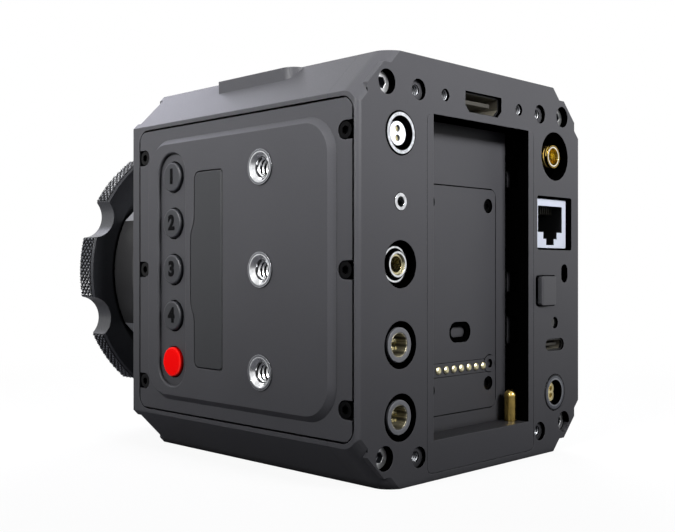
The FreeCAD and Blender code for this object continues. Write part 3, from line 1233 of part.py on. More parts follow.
# Inside
def imaging():
    """Sensor stack: filter glass in its frame, sensor package, carrier plate on four legs."""
    half_w, half_t = "sensor_width / 2", "sensor_tall / 2"

    def sheet_of(node, low, high, grow, radius):
        body = new_body(node)
        pad(body, "y", low, high, rounded(f"-{half_w} - ({grow})", f"{AXIS} - {half_t} - ({grow})",
                                          f"{half_w} + ({grow})", f"{AXIS} + {half_t} + ({grow})", radius))
        return body
    sensor = sheet_of("image_sensor", SENSOR_FACE, SENSOR_BACK, "0", "1")
    keep("image_sensor", sensor)
    frame = sheet_of("filter_frame", f"{SENSOR_FACE} - filter_gap", SENSOR_FACE, "0", "1")
    pocket(frame, "y", f"{SENSOR_FACE} - filter_gap", SENSOR_FACE,
           rounded(f"-{half_w} + 4", f"{AXIS} - {half_t} + 4", f"{half_w} - 4", f"{AXIS} + {half_t} - 4",
                   "0.5"))
    keep("filter_frame", frame)
    glass = sheet_of("sensor_filter", f"{SENSOR_FACE} - filter_gap - filter_thickness",
                     f"{SENSOR_FACE} - filter_gap",
                     "(-1)", "1")
    keep("sensor_filter", glass)
    carrier = new_body("sensor_carrier")
    half = "carrier_width / 2"
    pad(carrier, "y", SENSOR_BACK, CARRIER_BACK,
        rounded(f"-{half}", f"{AXIS} - {half}", half, f"{AXIS} + {half}", "3"))
    legs = [(f"{a}({half} - 4)", f"{AXIS} + {b}({half} - 4)") for a in ("", "-") for b in ("", "-")]
    pad(carrier, "y", f"{FRONT} + front_wall", SENSOR_BACK, *(circle(a, b, "3") for a, b in legs))
    keep("sensor_carrier", carrier)
    sink = new_body("heat_sink")
    top = f"({CARRIER_BACK} + 2)"
    pad(sink, "y", CARRIER_BACK, top, polygon((f"-{half} + 2", f"{AXIS} - {half} + 2"),
                                              (f"{half} - 2", f"{AXIS} - {half} + 2"),
                                              (f"{half} - 2", f"{AXIS} + {half} - 2"),
                                              (f"-{half} + 2", f"{AXIS} + {half} - 2")))
    edge = f"(-{half} + 2)"
    pad(sink, "y", top, f"{top} + fin_height", polygon(
        (edge, f"{AXIS} - {half} + 2"), (f"{edge} + fin_thickness", f"{AXIS} - {half} + 2"),
        (f"{edge} + fin_thickness", f"{AXIS} + {half} - 2"), (edge, f"{AXIS} + {half} - 2")))
    repeat(sink, "carrier_width - 4 - fin_thickness", "fin_count")
    keep("heat_sink", sink)


def spacer_spots():
    return [(f"{a}({SIDE} - wall - 8)", f"{MIDDLE} + {b}({MIDDLE} - wall - 12)") for a in ("", "-")
            for b in ("", "-")]


def boards():
    """Main board on the housing's ledge, connector board on four spacers behind it."""
    main = new_body("main_board")
    pad(main, "y", BOARD_FRONT, BOARD_REAR, rounded(f"-({SIDE} - wall - 0.3)", "wall + 6",
                                                    f"{SIDE} - wall - 0.3",
                                                    "body_height - wall - 6", "3"))
    keep("main_board", main)
    port = new_body("connector_board")
    edge, low, high = f"({SIDE} - wall - 2)", "(wall + 8)", "(body_height - wall - board_ledge - 0.3)"
    pad(port, "y", f"{PORT_BACK} - board_thickness", PORT_BACK, polygon(
        (f"-{edge}", low), (edge, low), (edge, f"{high} - port_board_cut"),
        (f"{edge} - port_board_cut", high),
        (f"-{edge} + port_board_cut", high), (f"-{edge}", f"{high} - port_board_cut")))
    keep("connector_board", port)
    length = f"{PORT_BACK} - board_thickness - {BOARD_REAR}"
    posts = [prism("y", (a, BOARD_REAR, b), length, "2.6") for a, b in spacer_spots()]
    keep("board_spacers", group(*posts))


def fan():
    """A square fan whose rotor turns about X just behind the vent slots."""
    y0, z0 = f"{FAN_MIDDLE} - fan_size / 2", f"{MIDDLE} - fan_size / 2"
    outside = f"-{COVER_BACK}"
    inside = f"-{COVER_BACK} + fan_depth"
    frame = new_body("fan_frame")
    pad(frame, "x", outside, inside, rounded(y0, z0, f"{FAN_MIDDLE} + fan_size / 2",
                                             f"{MIDDLE} + fan_size / 2", "2"))
    pocket(frame, "x", outside, f"{inside} - 1", circle(FAN_MIDDLE, MIDDLE, "fan_size / 2 - 1"))
    sweep = "(fan_size / 2 - 1 - 0.6)"
    vents = [polygon((f"{FAN_MIDDLE} + {a} * {sweep} * 0.35", f"{MIDDLE} + {b} * {sweep} * 0.35"),
                     (f"{FAN_MIDDLE} + {a} * {sweep} * 0.82", f"{MIDDLE} + {b} * {sweep} * 0.35"),
                     (f"{FAN_MIDDLE} + {a} * {sweep} * 0.35", f"{MIDDLE} + {b} * {sweep} * 0.82"))
             for a in (1, -1) for b in (1, -1)]
    pocket(frame, "x", f"{inside} - 1", inside, *vents)
    hub = "(fan_size * 0.19)"
    pad(frame, "x", f"{inside} - 1 - 3", f"{inside} - 1", circle(FAN_MIDDLE, MIDDLE, "1"))
    keep("fan_frame", frame)
    rotor = new_body("fan_rotor")
    low, high = f"{outside} + 0.8", f"{inside} - 1 - fan_gap"
    pad(rotor, "x", low, high, circle(FAN_MIDDLE, MIDDLE, hub))
    count = int(number("blade_count"))
    for i in range(count):
        turn = f"({360 / count * i} * 1 deg)"
        reach = "(fan_size / 2 - 1 - fan_gap)"
        wide = "0.55"
        ends = (("(fan_size * 0.16)", f"-{wide}"), (reach, f"-{wide} - 1.2"), (reach, f"{wide} - 1.2"),
                ("(fan_size * 0.16)", wide))
        spots = [(f"{FAN_MIDDLE} + ({r}) * cos({turn}) - ({t}) * sin({turn})",
                  f"{MIDDLE} + ({r}) * sin({turn}) + ({t}) * cos({turn})") for r, t in ends]
        pad(rotor, "x", f"{low} + 0.4", f"{high} - 0.4", polygon(*spots))
    pocket(rotor, "x", f"{low} + 1", high, circle(FAN_MIDDLE, MIDDLE, "1.05"))
    keep("fan_rotor", rotor)


# Rear connectors
def round_ports():
    back = PORT_BACK
    deep = f"{REAR} - 4 - {back}"

    def shell(x, z, front, outer, inner, floor):
        """A cup open to the rear: outside cylinder from the board to its front, bored to a floor."""
        whole = rod("y", (x, back, z), f"{front} - {back}", outer)
        return cut(whole, rod("y", (x, floor, z), f"{front} - {floor}", inner))

    left = "left_column"
    right = "-right_column"
    floor = f"({REAR} - 7)"
    keep("power_inlet", shell(left, "dc_height", f"{REAR} + 0.2", "dc_radius", "dc_radius - 1.1", floor))
    core = rod("y", (f"{left} + 0.2", floor, "dc_height"), "6.3", "2.75")
    holes = [rod("y", (f"{left} + 0.2", f"{floor} + 3", f"dc_height + {a}"), "3.3", "0.8")
             for a in ("1.1", "(-1.1)")]
    keep("power_inlet_core", cut(core, *holes))
    contacts = [rod("y", (f"{left} + 0.2", f"{floor} + 3", f"dc_height + {a}"), "2.9", "0.6")
                for a in ("1.1", "(-1.1)")]
    keep("small_jack", shell(left, "jack_height", f"{REAR} + 0.1", "jack_radius", "1.2", floor))
    shoulder = f"({REAR} - 1.7)"
    jacket = rod("y", (left, back, "video_height"), f"{shoulder} - {back}", "video_radius")
    groove = tube("y", (left, f"{shoulder} - 2.4", "video_height"), "2.4", "video_radius - 0.55",
                  "video_radius - 1.1")
    nose = rod("y", (left, f"{shoulder} - 2.4", "video_height"), "3.3", "video_radius - 1.1")
    keep("video_socket", cut(fuse(cut(jacket, groove), nose),
                             rod("y", (left, floor, "video_height"), "8", "2.5")))
    contacts.append(tube("y", (left, floor, "video_height"), "5.6", "2.45", "1.9"))
    shells, cores = [], []
    for z in ("multi_height_top", "multi_height_base"):
        shells.append(shell(left, z, f"{REAR} - 1", "multi_radius", "multi_radius - 1.3", floor))
        body = rod("y", (left, floor, z), "1.2", "multi_radius - 1.4")
        pins = [rod("y", (f"{left} + {a}", f"{floor} + 1.2", f"{z} + {b}"), "3.4", "0.4")
                for a in ("(-1)", "0", "1") for b in ("(-0.9)", "0.9")]
        cores.append(fuse(body, rod("y", (left, f"{floor} + 1.2", z), "0.01", "1.6"), *pins))
    keep("multi_sockets", group(*shells))
    keep("multi_socket_pins", group(*cores))
    thread = rod("y", (right, back, "antenna_height"), f"{REAR} - 0.4 - {back}", "antenna_radius")
    base = prism("y", (right, back, "antenna_height"), f"{REAR} - 5.6 - {back}", "4.6")
    keep("antenna_socket", cut(fuse(thread, base),
                               rod("y", (right, f"{REAR} - 6", "antenna_height"), "6", "2.35")))
    contacts.append(rod("y", (right, f"{REAR} - 6", "antenna_height"), "2.4", "0.9"))
    keep("socket_contacts", group(*contacts))
    aux = shell(right, "aux_height", f"{REAR} + 0.1", "aux_radius", "aux_radius - 1.5", floor)
    keep("two_pin_socket", aux)
    halves = [rod("y", (right, floor, f"aux_height + {a}"), "5.7", "1.55") for a in ("0.95", "(-0.95)")]
    holes = [rod("y", (right, f"{floor} + 3", f"aux_height + {a}"), "2.7", "0.7")
             for a in ("0.95", "(-0.95)")]
    keep("two_pin_core", cut(fuse(*halves), *holes))
    keep("status_lamp", rod("y", (right, back, "lamp_height"), f"{REAR} - 0.6 - {back}",
                            "lamp_radius - 0.1"))


def network_jack():
    """The jack's moulded face: a plug opening with two steps down to the latch notch."""
    body = new_body("network_jack")
    middle = "-right_column"
    pad(body, "y", PORT_BACK, f"{REAR} - 1.5", rounded(
        f"{middle} - network_width / 2", "network_height - network_tall / 2",
        f"{middle} + network_width / 2", "network_height + network_tall / 2", "0.4"))
    high = "(network_height + network_tall / 2 - 1.9)"
    low = "(network_height - 2.4)"
    step = "(network_height - 4.2)"
    foot = "(network_height - 5.9)"
    half = (("6", high), ("6", low), ("3.4", low), ("3.4", step), ("1.9", step), ("1.9", foot))
    right = [(f"{middle} + {a}", b) for a, b in half]
    left = [(f"{middle} - {a}", b) for a, b in reversed(half)]
    pocket(body, "y", f"{PORT_BACK} + 1.5", f"{REAR} - 1.5", polygon(*(right + left)))
    keep("network_jack", body)
    pins = [block((f"{middle} - 3.8 + {i} * 1.02", f"{PORT_BACK} + 1.5", f"{high} - 2.2"),
                  (f"{middle} - 3.35 + {i} * 1.02", f"{REAR} - 3.5", f"{high}")) for i in range(8)]
    keep("network_contacts", group(*pins))


def flat_ports():
    """Video port and data port: thin metal sleeves with a tongue inside."""
    video = new_body("video_port")
    pad(video, "y", PORT_BACK, f"{REAR} - 1", hdmi_outline("(-0.1)"))
    pocket(video, "y", f"{PORT_BACK} + 2", f"{REAR} - 1", hdmi_outline("(-0.45)"))
    keep("video_port", video)
    tongue = block(("-5.2", f"{PORT_BACK} + 2", "hdmi_height - 0.1"),
                   ("5.2", f"{REAR} - 2.2", "hdmi_height + 0.9"))
    data = new_body("data_port")
    middle = "-right_column"
    pad(data, "y", PORT_BACK, f"{REAR} - 0.4", oval(middle, "usb_height", "usb_width - 0.1",
                                                    "usb_tall - 0.1"))
    pocket(data, "y", f"{PORT_BACK} + 2", f"{REAR} - 0.4",
           oval(middle, "usb_height", "usb_width - 0.8", "usb_tall - 0.8"))
    keep("data_port", data)
    small = block((f"{middle} - 3.3", f"{PORT_BACK} + 2", "usb_height - 0.35"),
                  (f"{middle} + 3.3", f"{REAR} - 1.6", "usb_height + 0.35"))
    keep("port_tongues", group(tongue, small))


def power_button():
    """A square cap that stands proud of the rear face, with a flange above and below inside the housing."""
    body = new_body("power_button")
    inside = f"({REAR} - 4 - 0.05)"
    pad(body, "y", f"{inside} - flange_height", f"{REAR} + power_rise", power_outline("0"))
    high, flush = f"{REAR} + power_rise", f"{REAR} + 0.2"
    pocket(body, "z", "power_height - power_tall", "power_height + power_tall", polygon(
        (f"{POWER_MIDDLE} + power_width / 2 - 1", high), (f"{POWER_MIDDLE} - power_width / 2 - 1", flush),
        (f"{POWER_MIDDLE} - power_width / 2 - 1", f"{high} + 1"),
        (f"{POWER_MIDDLE} + power_width / 2 - 1", f"{high} + 1")))
    pad(body, "y", f"{inside} - flange_height", inside, rounded(
        f"{POWER_MIDDLE} - power_width / 2", "power_height - power_tall / 2 - button_flange",
        f"{POWER_MIDDLE} + power_width / 2", "power_height + power_tall / 2 + button_flange", "0.8"))
    keep("power_button", body)
    low = f"{inside} - flange_height - button_travel - 0.25"
    keep("power_switch", block((f"{POWER_MIDDLE} - 3", PORT_BACK, "power_height - 3"),
                               (f"{POWER_MIDDLE} + 3", low, "power_height + 3")))


def corner_screws():
    screws = [socket_screw("y", (a, f"{REAR} - 4.2", b), "2.4", "corner_screw_radius - 0.25", "13",
                           "screw_tapping", "1.6")
              for a, b in corner_spots()]
    keep("corner_screws", group(*screws))


# Top
def top_controls():
    glass = new_body("top_display")
    pad(glass, "z", "body_height - 1.2", "body_height - 0.1", display_outline("0"))
    pad(glass, "z", "body_height - wall + 0.9", "body_height - 1.2", display_outline("(-2.1)"))
    keep("top_display", glass)
    flange_top = "(body_height - wall + counterbore_depth - 0.05)"
    for name, spot in zip(("menu_button_1", "menu_button_2", "menu_button_3", "menu_button_4"),
                          menu_spots()):
        body = new_body(name)
        pad(body, "z", f"{flange_top} - flange_height", "body_height + menu_rise",
            circle(spot, MENU_LINE, "menu_radius"))
        level = number("body_height + menu_rise")
        dress(body, "Fillet", "0.3", lambda edge: lies(edge, "z", level))
        pad(body, "z", f"{flange_top} - flange_height", flange_top,
            circle(spot, MENU_LINE, "menu_radius + button_flange"))
        keep(name, body)


main_housing()
rear_housing()
battery_tray()
bay_plate()
contact_strip()
bay_metal()
left_side_cover()
card_door()
buttons()
card_slot()
right_side_cover()
side_fasteners()
keep("mount_screws", group(*mount_block(), *mount_flange()))
locking_ring()
imaging()
boards()
fan()
round_ports()
network_jack()
flat_ports()
power_button()
corner_screws()
top_controls()
doc.recompute()

# Every object and every piece is tested before anything is written
for item in doc.Objects:
    if "Invalid" in item.State or "Error" in item.State:
        raise ValueError("failed object: " + item.Name)
for node, piece in PARTS:
    if piece.Shape.isNull() or not piece.Shape.isValid() or not piece.Shape.Solids:
        raise ValueError("bad shape: " + node)

os.makedirs("parts", exist_ok=True)
for node, piece in PARTS:
    piece.Shape.exportStep(os.path.join("parts", node + ".step"))
print(len(PARTS), "parts written")
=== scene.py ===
import math

import bpy
from mathutils import Matrix, Vector


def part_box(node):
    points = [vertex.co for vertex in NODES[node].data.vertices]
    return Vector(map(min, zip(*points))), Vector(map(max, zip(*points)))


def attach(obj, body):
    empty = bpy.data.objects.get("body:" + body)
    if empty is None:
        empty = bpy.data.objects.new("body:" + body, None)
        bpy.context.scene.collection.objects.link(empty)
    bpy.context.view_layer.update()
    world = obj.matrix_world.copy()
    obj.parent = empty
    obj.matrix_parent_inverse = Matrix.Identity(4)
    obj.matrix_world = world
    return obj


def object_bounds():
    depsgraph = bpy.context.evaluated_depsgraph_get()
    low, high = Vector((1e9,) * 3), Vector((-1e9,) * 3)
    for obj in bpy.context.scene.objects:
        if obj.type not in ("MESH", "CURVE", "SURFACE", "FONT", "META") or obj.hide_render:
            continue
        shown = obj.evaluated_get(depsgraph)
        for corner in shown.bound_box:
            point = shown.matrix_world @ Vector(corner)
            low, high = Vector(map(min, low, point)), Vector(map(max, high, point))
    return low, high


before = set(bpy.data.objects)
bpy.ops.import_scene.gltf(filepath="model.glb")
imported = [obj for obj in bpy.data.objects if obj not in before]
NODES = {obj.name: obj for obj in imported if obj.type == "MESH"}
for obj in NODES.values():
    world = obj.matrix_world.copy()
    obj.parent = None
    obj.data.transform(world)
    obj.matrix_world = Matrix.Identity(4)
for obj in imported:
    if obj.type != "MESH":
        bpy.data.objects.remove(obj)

bl_info = {
    "name": "Box cinema camera",
    "version": (1, 0, 0),
    "blender": (4, 5, 0),
    "location": "3D View > Sidebar > Camera",
    "description": "Finishes, fine pieces and a studio for a box-shaped cinema camera",
    "category": "Object",
}

MM = 0.001
CAD_LOW, CAD_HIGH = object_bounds()

# Planes and axes that the finishes and fine pieces share, read from the frame
RING_LOW, RING_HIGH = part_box("locking_ring")
FLANGE_LOW, FLANGE_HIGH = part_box("mount_flange")
REAR_LOW, REAR_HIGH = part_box("rear_housing")
DISPLAY_LOW, DISPLAY_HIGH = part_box("top_display")
SENSOR_LOW, SENSOR_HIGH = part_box("image_sensor")
LENS_AXIS = Vector((0, 0, (FLANGE_LOW.z + FLANGE_HIGH.z) / 2))
HOUSING_SEAM = REAR_LOW.y
REAR_FACE = REAR_HIGH.y
BAY_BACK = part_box("bay_plate")[1].y
JACK_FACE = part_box("network_jack")[1].y
PORT_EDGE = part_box("video_port")[1].y

# Boxes round all the rear frame's recesses, and round the lower end of its battery bay
POCKET_BACK = BAY_BACK - 4 * MM
POCKETS = ((-43 * MM, POCKET_BACK, 3.2 * MM), (43 * MM, REAR_FACE, 96 * MM))
BAY_FLOOR = ((-19.9 * MM, POCKET_BACK, 3.2 * MM), (19.9 * MM, REAR_FACE, 20 * MM))

# The corner flares begin where the ways sideways and up from the frame's middle add up to the limit
FLARE_MIDDLE = LENS_AXIS.z + 0.8 * MM
FLARE_LIMIT = 82.6 * MM

# Rows of round parts: how far the end parts' axes lie inside the ends of the row's box
SIDE_INSERT_RIM = 4.3 * MM
TRIPOD_INSERT_RIM = 3.9 * MM
SOCKET_RIM = 4.1 * MM

# Sockets go by number where names repeat: a Map Range takes its value, the span that comes in and
# the span that goes out as 0 to 4, and a Mix takes its factor as 0, its colours as 6 and 7, and
# gives its colour as 2
TEXTURE_COORDINATE = "ShaderNodeTexCoord"
OUTPUT = "ShaderNodeOutputMaterial"
PRINCIPLED = "ShaderNodeBsdfPrincipled"
NOISE = "ShaderNodeTexNoise"
MAP_RANGE = "ShaderNodeMapRange"
MATH = "ShaderNodeMath"
VECTOR_MATH = "ShaderNodeVectorMath"
SEPARATE = "ShaderNodeSeparateXYZ"
GEOMETRY = "ShaderNodeNewGeometry"
LIGHT_PATH = "ShaderNodeLightPath"
BUMP = "ShaderNodeBump"
MIX = "ShaderNodeMix"
MIX_SHADER = "ShaderNodeMixShader"
# Where a noise's values mostly lie
NOISE_SPAN = {1: 0.3, 2: 0.7}

BUTTONS = ("button_1", "button_2", "button_3", "button_4")
MENU_BUTTONS = ("menu_button_1", "menu_button_2", "menu_button_3", "menu_button_4")
MIRROR_RAYS = ("Is Glossy Ray", "Is Transmission Ray")


def srgb(code):
    """A hex colour as linear red, green, blue and alpha."""
    parts = [int(code[i:i + 2], 16) / 255 for i in (1, 3, 5)]
    return tuple(c / 12.92 if c <= 0.04045 else ((c + 0.055) / 1.055) ** 2.4 for c in parts) + (1.0,)


def per(size):
    """A texture scale whose features are about this many millimetres across."""
    return 1000 / size


def colour_property(name, description, code):
    return bpy.props.FloatVectorProperty(name=name, description=description, subtype="COLOR", size=4,
                                         min=0, max=1, default=srgb(code))


def length_property(name, description, millimetres):
    return bpy.props.FloatProperty(name=name, description=description, unit="LENGTH", min=0,
                                   precision=5, default=millimetres * MM)


def power_property(name, description, watts):
    return bpy.props.FloatProperty(name=name, description=description, unit="POWER", min=0,
                                   default=watts)


class CameraColours(bpy.types.PropertyGroup):
    housing: colour_property("Housing", "Dyed and bead-blasted aluminium of the box", "#3a3a3d")
    ring: colour_property("Lens ring", "Black anodised aluminium of the ring", "#2a2b2f")
    inside: colour_property("Inside", "Black anodised aluminium inside the throat", "#1b1b1c")
    door: colour_property("Card door", "Moulded elastomer of the card door", "#1f2023")
    button: colour_property("Buttons", "Moulded rubber of the button caps", "#212226")
    record: colour_property("Record button", "Red silicone of the record button", "#ee0202")
    jack: colour_property("Network jack", "Tin-plated face of the network jack", "#b2b7c4")
    gold: colour_property("Gold", "Gold plating of the terminal pins and the antenna thread", "#dcbd6c")
    nickel: colour_property("Nickel", "Bright nickel plating of the board spacers", "#d9dadd")
    board: colour_property("Circuit board", "Solder mask of the boards", "#0f3d24")


class CameraSizes(bpy.types.PropertyGroup):
    knurl_pitch: length_property("Knurl pitch", "Diamond to diamond round the lens ring", 1.9)
    knurl_height: length_property("Knurl height", "Diamond points above the ring", 0.45)
    thread_pitch: length_property("Thread pitch", "Quarter-inch 20 thread, crest to crest", 1.27)
    thread_depth: length_property("Thread depth", "Thread crest into the bore", 0.62)
    mark_height: length_property("Mark height", "Numbers on the side buttons, top to bottom", 3.9)
    mark_rise: length_property("Mark rise", "Numbers above the button caps", 0.12)


class CameraStudio(bpy.types.PropertyGroup):
    lens: bpy.props.FloatProperty(name="Lens", description="Focal length on a 36 mm wide frame",
                                  default=51.02)
    floor_size: length_property("Floor", "Side of the pale floor", 6000)
    room: bpy.props.FloatProperty(name="Room", description="Strength of the room's own soft light",
                                  default=0.30)
    side_power: power_property("Side lamp", "Soft lamp on the button side", 0.37)
    rear_power: power_property("Rear lamp", "Soft lamp over the operator", 0.43)
    front_power: power_property("Front lamp", "Soft lamp over the lens", 0.16)
    far_power: power_property("Far lamp", "Soft lamp on the fan side", 0.55)


# Materials
def add(tree, kind, inputs=None, output=0, **settings):
    """Adds a node, sets its properties, fills or links its inputs and returns one of its outputs, if any."""
    node = tree.nodes.new(kind)
    for name, value in settings.items():
        setattr(node, name, value)
    for name, value in (inputs or {}).items():
        if isinstance(value, bpy.types.NodeSocket):
            tree.links.new(value, node.inputs[name])
        else:
            node.inputs[name].default_value = value
    return node.outputs[output] if node.outputs else node


def start(name):
    """An empty material, its tree and the place on the object."""
    material = bpy.data.materials.new(name)
    material.use_nodes = True
    tree = material.node_tree
    tree.nodes.clear()
    return material, tree, add(tree, TEXTURE_COORDINATE, output="Object")


def close(material, tree, colour, roughness, inputs):
    """Ends a material with one Principled shader."""
    shader = add(tree, PRINCIPLED, {"Base Color": colour, "Roughness": roughness, **inputs})
    add(tree, OUTPUT, {"Surface": shader})
    return material


def shade(colour, factor):
    return tuple(min(1.0, c * factor) for c in colour[:3]) + (1.0,)


def rounded_normal(tree, width, height=None, depth=0.0):
    """Normals that round every edge by this many millimetres, roughened by a height in millimetres."""
    soft = add(tree, "ShaderNodeBevel", {"Radius": width * MM}, samples=4)
    if height is None:
        return soft
    return add(tree, BUMP, {"Strength": 1.0, "Distance": depth * MM, "Height": height, "Normal": soft})


def edge_mask(tree, width):
    """1 on edges, 0 on flat faces: where the finishes paint edges paler, partly as wear and partly as a
    painted highlight.
    """
    soft = add(tree, "ShaderNodeBevel", {"Radius": width * MM}, samples=4)
    likeness = add(tree, VECTOR_MATH, {0: soft, 1: add(tree, GEOMETRY, output="Normal")}, "Value",
                   operation="DOT_PRODUCT")
    return add(tree, MAP_RANGE, {0: likeness, 1: 0.80, 2: 0.995, 3: 1.0, 4: 0.0})


def open_sky(tree, distance, low=0.25, high=0.8):
    """0 in crevices narrower than about this many millimetres, 1 on open faces: where it is 0 the finishes
    paint shade.
    """
    clear = add(tree, "ShaderNodeAmbientOcclusion", {"Distance": distance * MM}, "AO", samples=6)
    return add(tree, MAP_RANGE, {0: clear, 1: low, 2: high, 3: 0.0, 4: 1.0})


def axis_reach(tree, place, axis, spots):
    """Millimetres to the nearest of some lines along one axis."""
    flat = add(tree, VECTOR_MATH, {0: place, 1: [0.0 if i == axis else 1.0 for i in range(3)]},
               operation="MULTIPLY")
    nearest = None
    for spot in spots:
        line = [0.0 if i == axis else spot[i] for i in range(3)]
        away = add(tree, VECTOR_MATH, {0: flat, 1: line}, "Value", operation="DISTANCE")
        nearest = away if nearest is None else add(tree, MATH, {0: nearest, 1: away}, operation="MINIMUM")
    return add(tree, MATH, {0: nearest, 1: 1 / MM}, operation="MULTIPLY")


def bands(tree, value, first, *steps):
    """A colour that changes at each given value, with a soft border 0.1 wide."""
    colour = first
    for limit, following in steps:
        past = add(tree, MAP_RANGE, {0: value, 1: limit - 0.05, 2: limit + 0.05})
        colour = add(tree, MIX, {0: past, 6: colour, 7: following}, 2, data_type="RGBA")
    return colour


def inside_box(tree, place, low, high):
    """1 within a box, 0 outside it."""
    middle = [(a + b) / 2 for a, b in zip(low, high)]
    half = [(b - a) / 2 for a, b in zip(low, high)]
    away = add(tree, VECTOR_MATH, {0: place, 1: middle}, operation="SUBTRACT")
    away = add(tree, VECTOR_MATH, {0: away}, operation="ABSOLUTE")
    room = add(tree, VECTOR_MATH, {0: half, 1: away}, operation="SUBTRACT")
    x, y, z = (add(tree, SEPARATE, {0: room}, axis) for axis in "XYZ")
    least = add(tree, MATH, {0: x, 1: y}, operation="MINIMUM")
    least = add(tree, MATH, {0: least, 1: z}, operation="MINIMUM")
    return add(tree, MATH, {0: least, 1: 0.0}, operation="GREATER_THAN")


def unblasted(tree, place, sunk, outline):
    """1 where black is painted: pocket walls and what lies below the sunk plane, a painted shade, and
    outside the outline, a dark joint line.

    What faces straight up at the bay's lower end gets less of the painted shade, a painted light where
    light falls on it from above."""
    x, y, z = (add(tree, SEPARATE, {0: place}, axis) for axis in "XYZ")
    facing = add(tree, GEOMETRY, output="True Normal")
    # Painted shade: the walls of the pockets are painted black
    wall = add(tree, MATH, {0: add(tree, SEPARATE, {0: facing}, "Y")}, operation="ABSOLUTE")
    wall = add(tree, MAP_RANGE, {0: wall, 1: 0.3, 2: 0.6, 3: 1.0, 4: 0.0})
    # Painted light: faces turned up in the bay's lower end are left paler
    lit = add(tree, MATH, {0: add(tree, SEPARATE, {0: facing}, "Z"),
                           1: inside_box(tree, place, *BAY_FLOOR)}, operation="MULTIPLY")
    lit = add(tree, MAP_RANGE, {0: lit, 1: 0.5, 2: 0.9, 3: 1.0, 4: 0.4})
    black = add(tree, MATH, {0: wall, 1: inside_box(tree, place, *POCKETS)}, operation="MULTIPLY")
    black = add(tree, MATH, {0: black, 1: lit}, operation="MULTIPLY")
    across = add(tree, MATH, {0: x}, operation="ABSOLUTE")
    height = add(tree, MATH, {0: z, 1: FLARE_MIDDLE}, operation="SUBTRACT")
    height = add(tree, MATH, {0: height}, operation="ABSOLUTE")
    diagonal = add(tree, MATH, {0: across, 1: height})
    within = add(tree, MATH, {0: diagonal, 1: FLARE_LIMIT}, operation="LESS_THAN")
    black = add(tree, MATH, {0: black, 1: within}, operation="MULTIPLY")
    deep = add(tree, MATH, {0: y, 1: sunk}, operation="LESS_THAN")
    black = add(tree, MATH, {0: black, 1: deep}, operation="MAXIMUM")
    if outline:
        edge = add(tree, MATH, {0: 1.0, 1: inside_box(tree, place, *outline)}, operation="SUBTRACT")
        black = add(tree, MATH, {0: black, 1: edge}, operation="MAXIMUM")
    return black


def blasted_aluminium(name, colour, roughness=0.42, specular=0.18, pocket_shade=False, sunk=-1.0, outline=None):
    """Aluminium, bead-blasted and hard-anodised: an even matt grain, a soft sheen, edges painted paler as
    wear and as a painted highlight, and painted shade in crevices.

    Pieces with pocket shade have the walls of their pockets and what lies below the sunk plane
    painted black, a painted shade, and a dark joint line outside the outline: sunk is a plane
    along Y, which is in front of everything when left out, and outline a box. Those without an
    outline show the dark seam between the two housings."""
    material, tree, place = start(name)
    cloud = add(tree, NOISE, {"Vector": place, "Scale": per(22), "Detail": 3.0}, "Fac")
    grain = add(tree, NOISE, {"Vector": place, "Scale": per(0.28), "Detail": 2.0}, "Fac")
    tone = add(tree, MIX, {0: cloud, 6: shade(colour, 0.90), 7: shade(colour, 1.10)}, 2, data_type="RGBA")
    pits = add(tree, MAP_RANGE, {0: grain, **NOISE_SPAN, 3: 0.0, 4: 0.3})
    tone = add(tree, MIX, {0: pits, 6: tone, 7: shade(colour, 1.4)}, 2, data_type="RGBA")
    # Edges painted paler: partly worn edges, partly a painted highlight
    worn_and_highlit_edges = add(tree, MATH, {0: edge_mask(tree, 0.22), 1: 0.4}, operation="MULTIPLY")
    tone = add(tree, MIX, {0: worn_and_highlit_edges, 6: tone, 7: shade(colour, 2.6)}, 2, data_type="RGBA")
    # Painted shade in crevices
    tone = add(tree, MIX, {0: open_sky(tree, 2.2), 6: shade(colour, 0.12), 7: tone}, 2, data_type="RGBA")
    # Painted shade: pocket walls and sunk faces painted black, with a dark joint line round the outline
    if pocket_shade:
        black = unblasted(tree, place, sunk, outline)
        tone = add(tree, MIX, {0: black, 6: tone, 7: srgb("#020202")}, 2, data_type="RGBA")
        specular = add(tree, MAP_RANGE, {0: black, 3: specular, 4: 0.0})
    if pocket_shade and not outline:
        along = add(tree, SEPARATE, {0: place}, "Y")
        away = add(tree, MATH, {0: along, 1: HOUSING_SEAM}, operation="SUBTRACT")
        away = add(tree, MATH, {0: away}, operation="ABSOLUTE")
        seam = add(tree, MAP_RANGE, {0: away, 1: 0.08 * MM, 2: 0.14 * MM, 3: 1.0, 4: 0.0})
        tone = add(tree, MIX, {0: seam, 6: tone, 7: srgb("#050505")}, 2, data_type="RGBA")
    rough = add(tree, MAP_RANGE, {0: grain, **NOISE_SPAN, 3: roughness - 0.04, 4: roughness + 0.06})
    normal = rounded_normal(tree, 0.22, grain, 0.012)
    return close(material, tree, tone, rough, {"Specular IOR Level": specular, "Normal": normal})


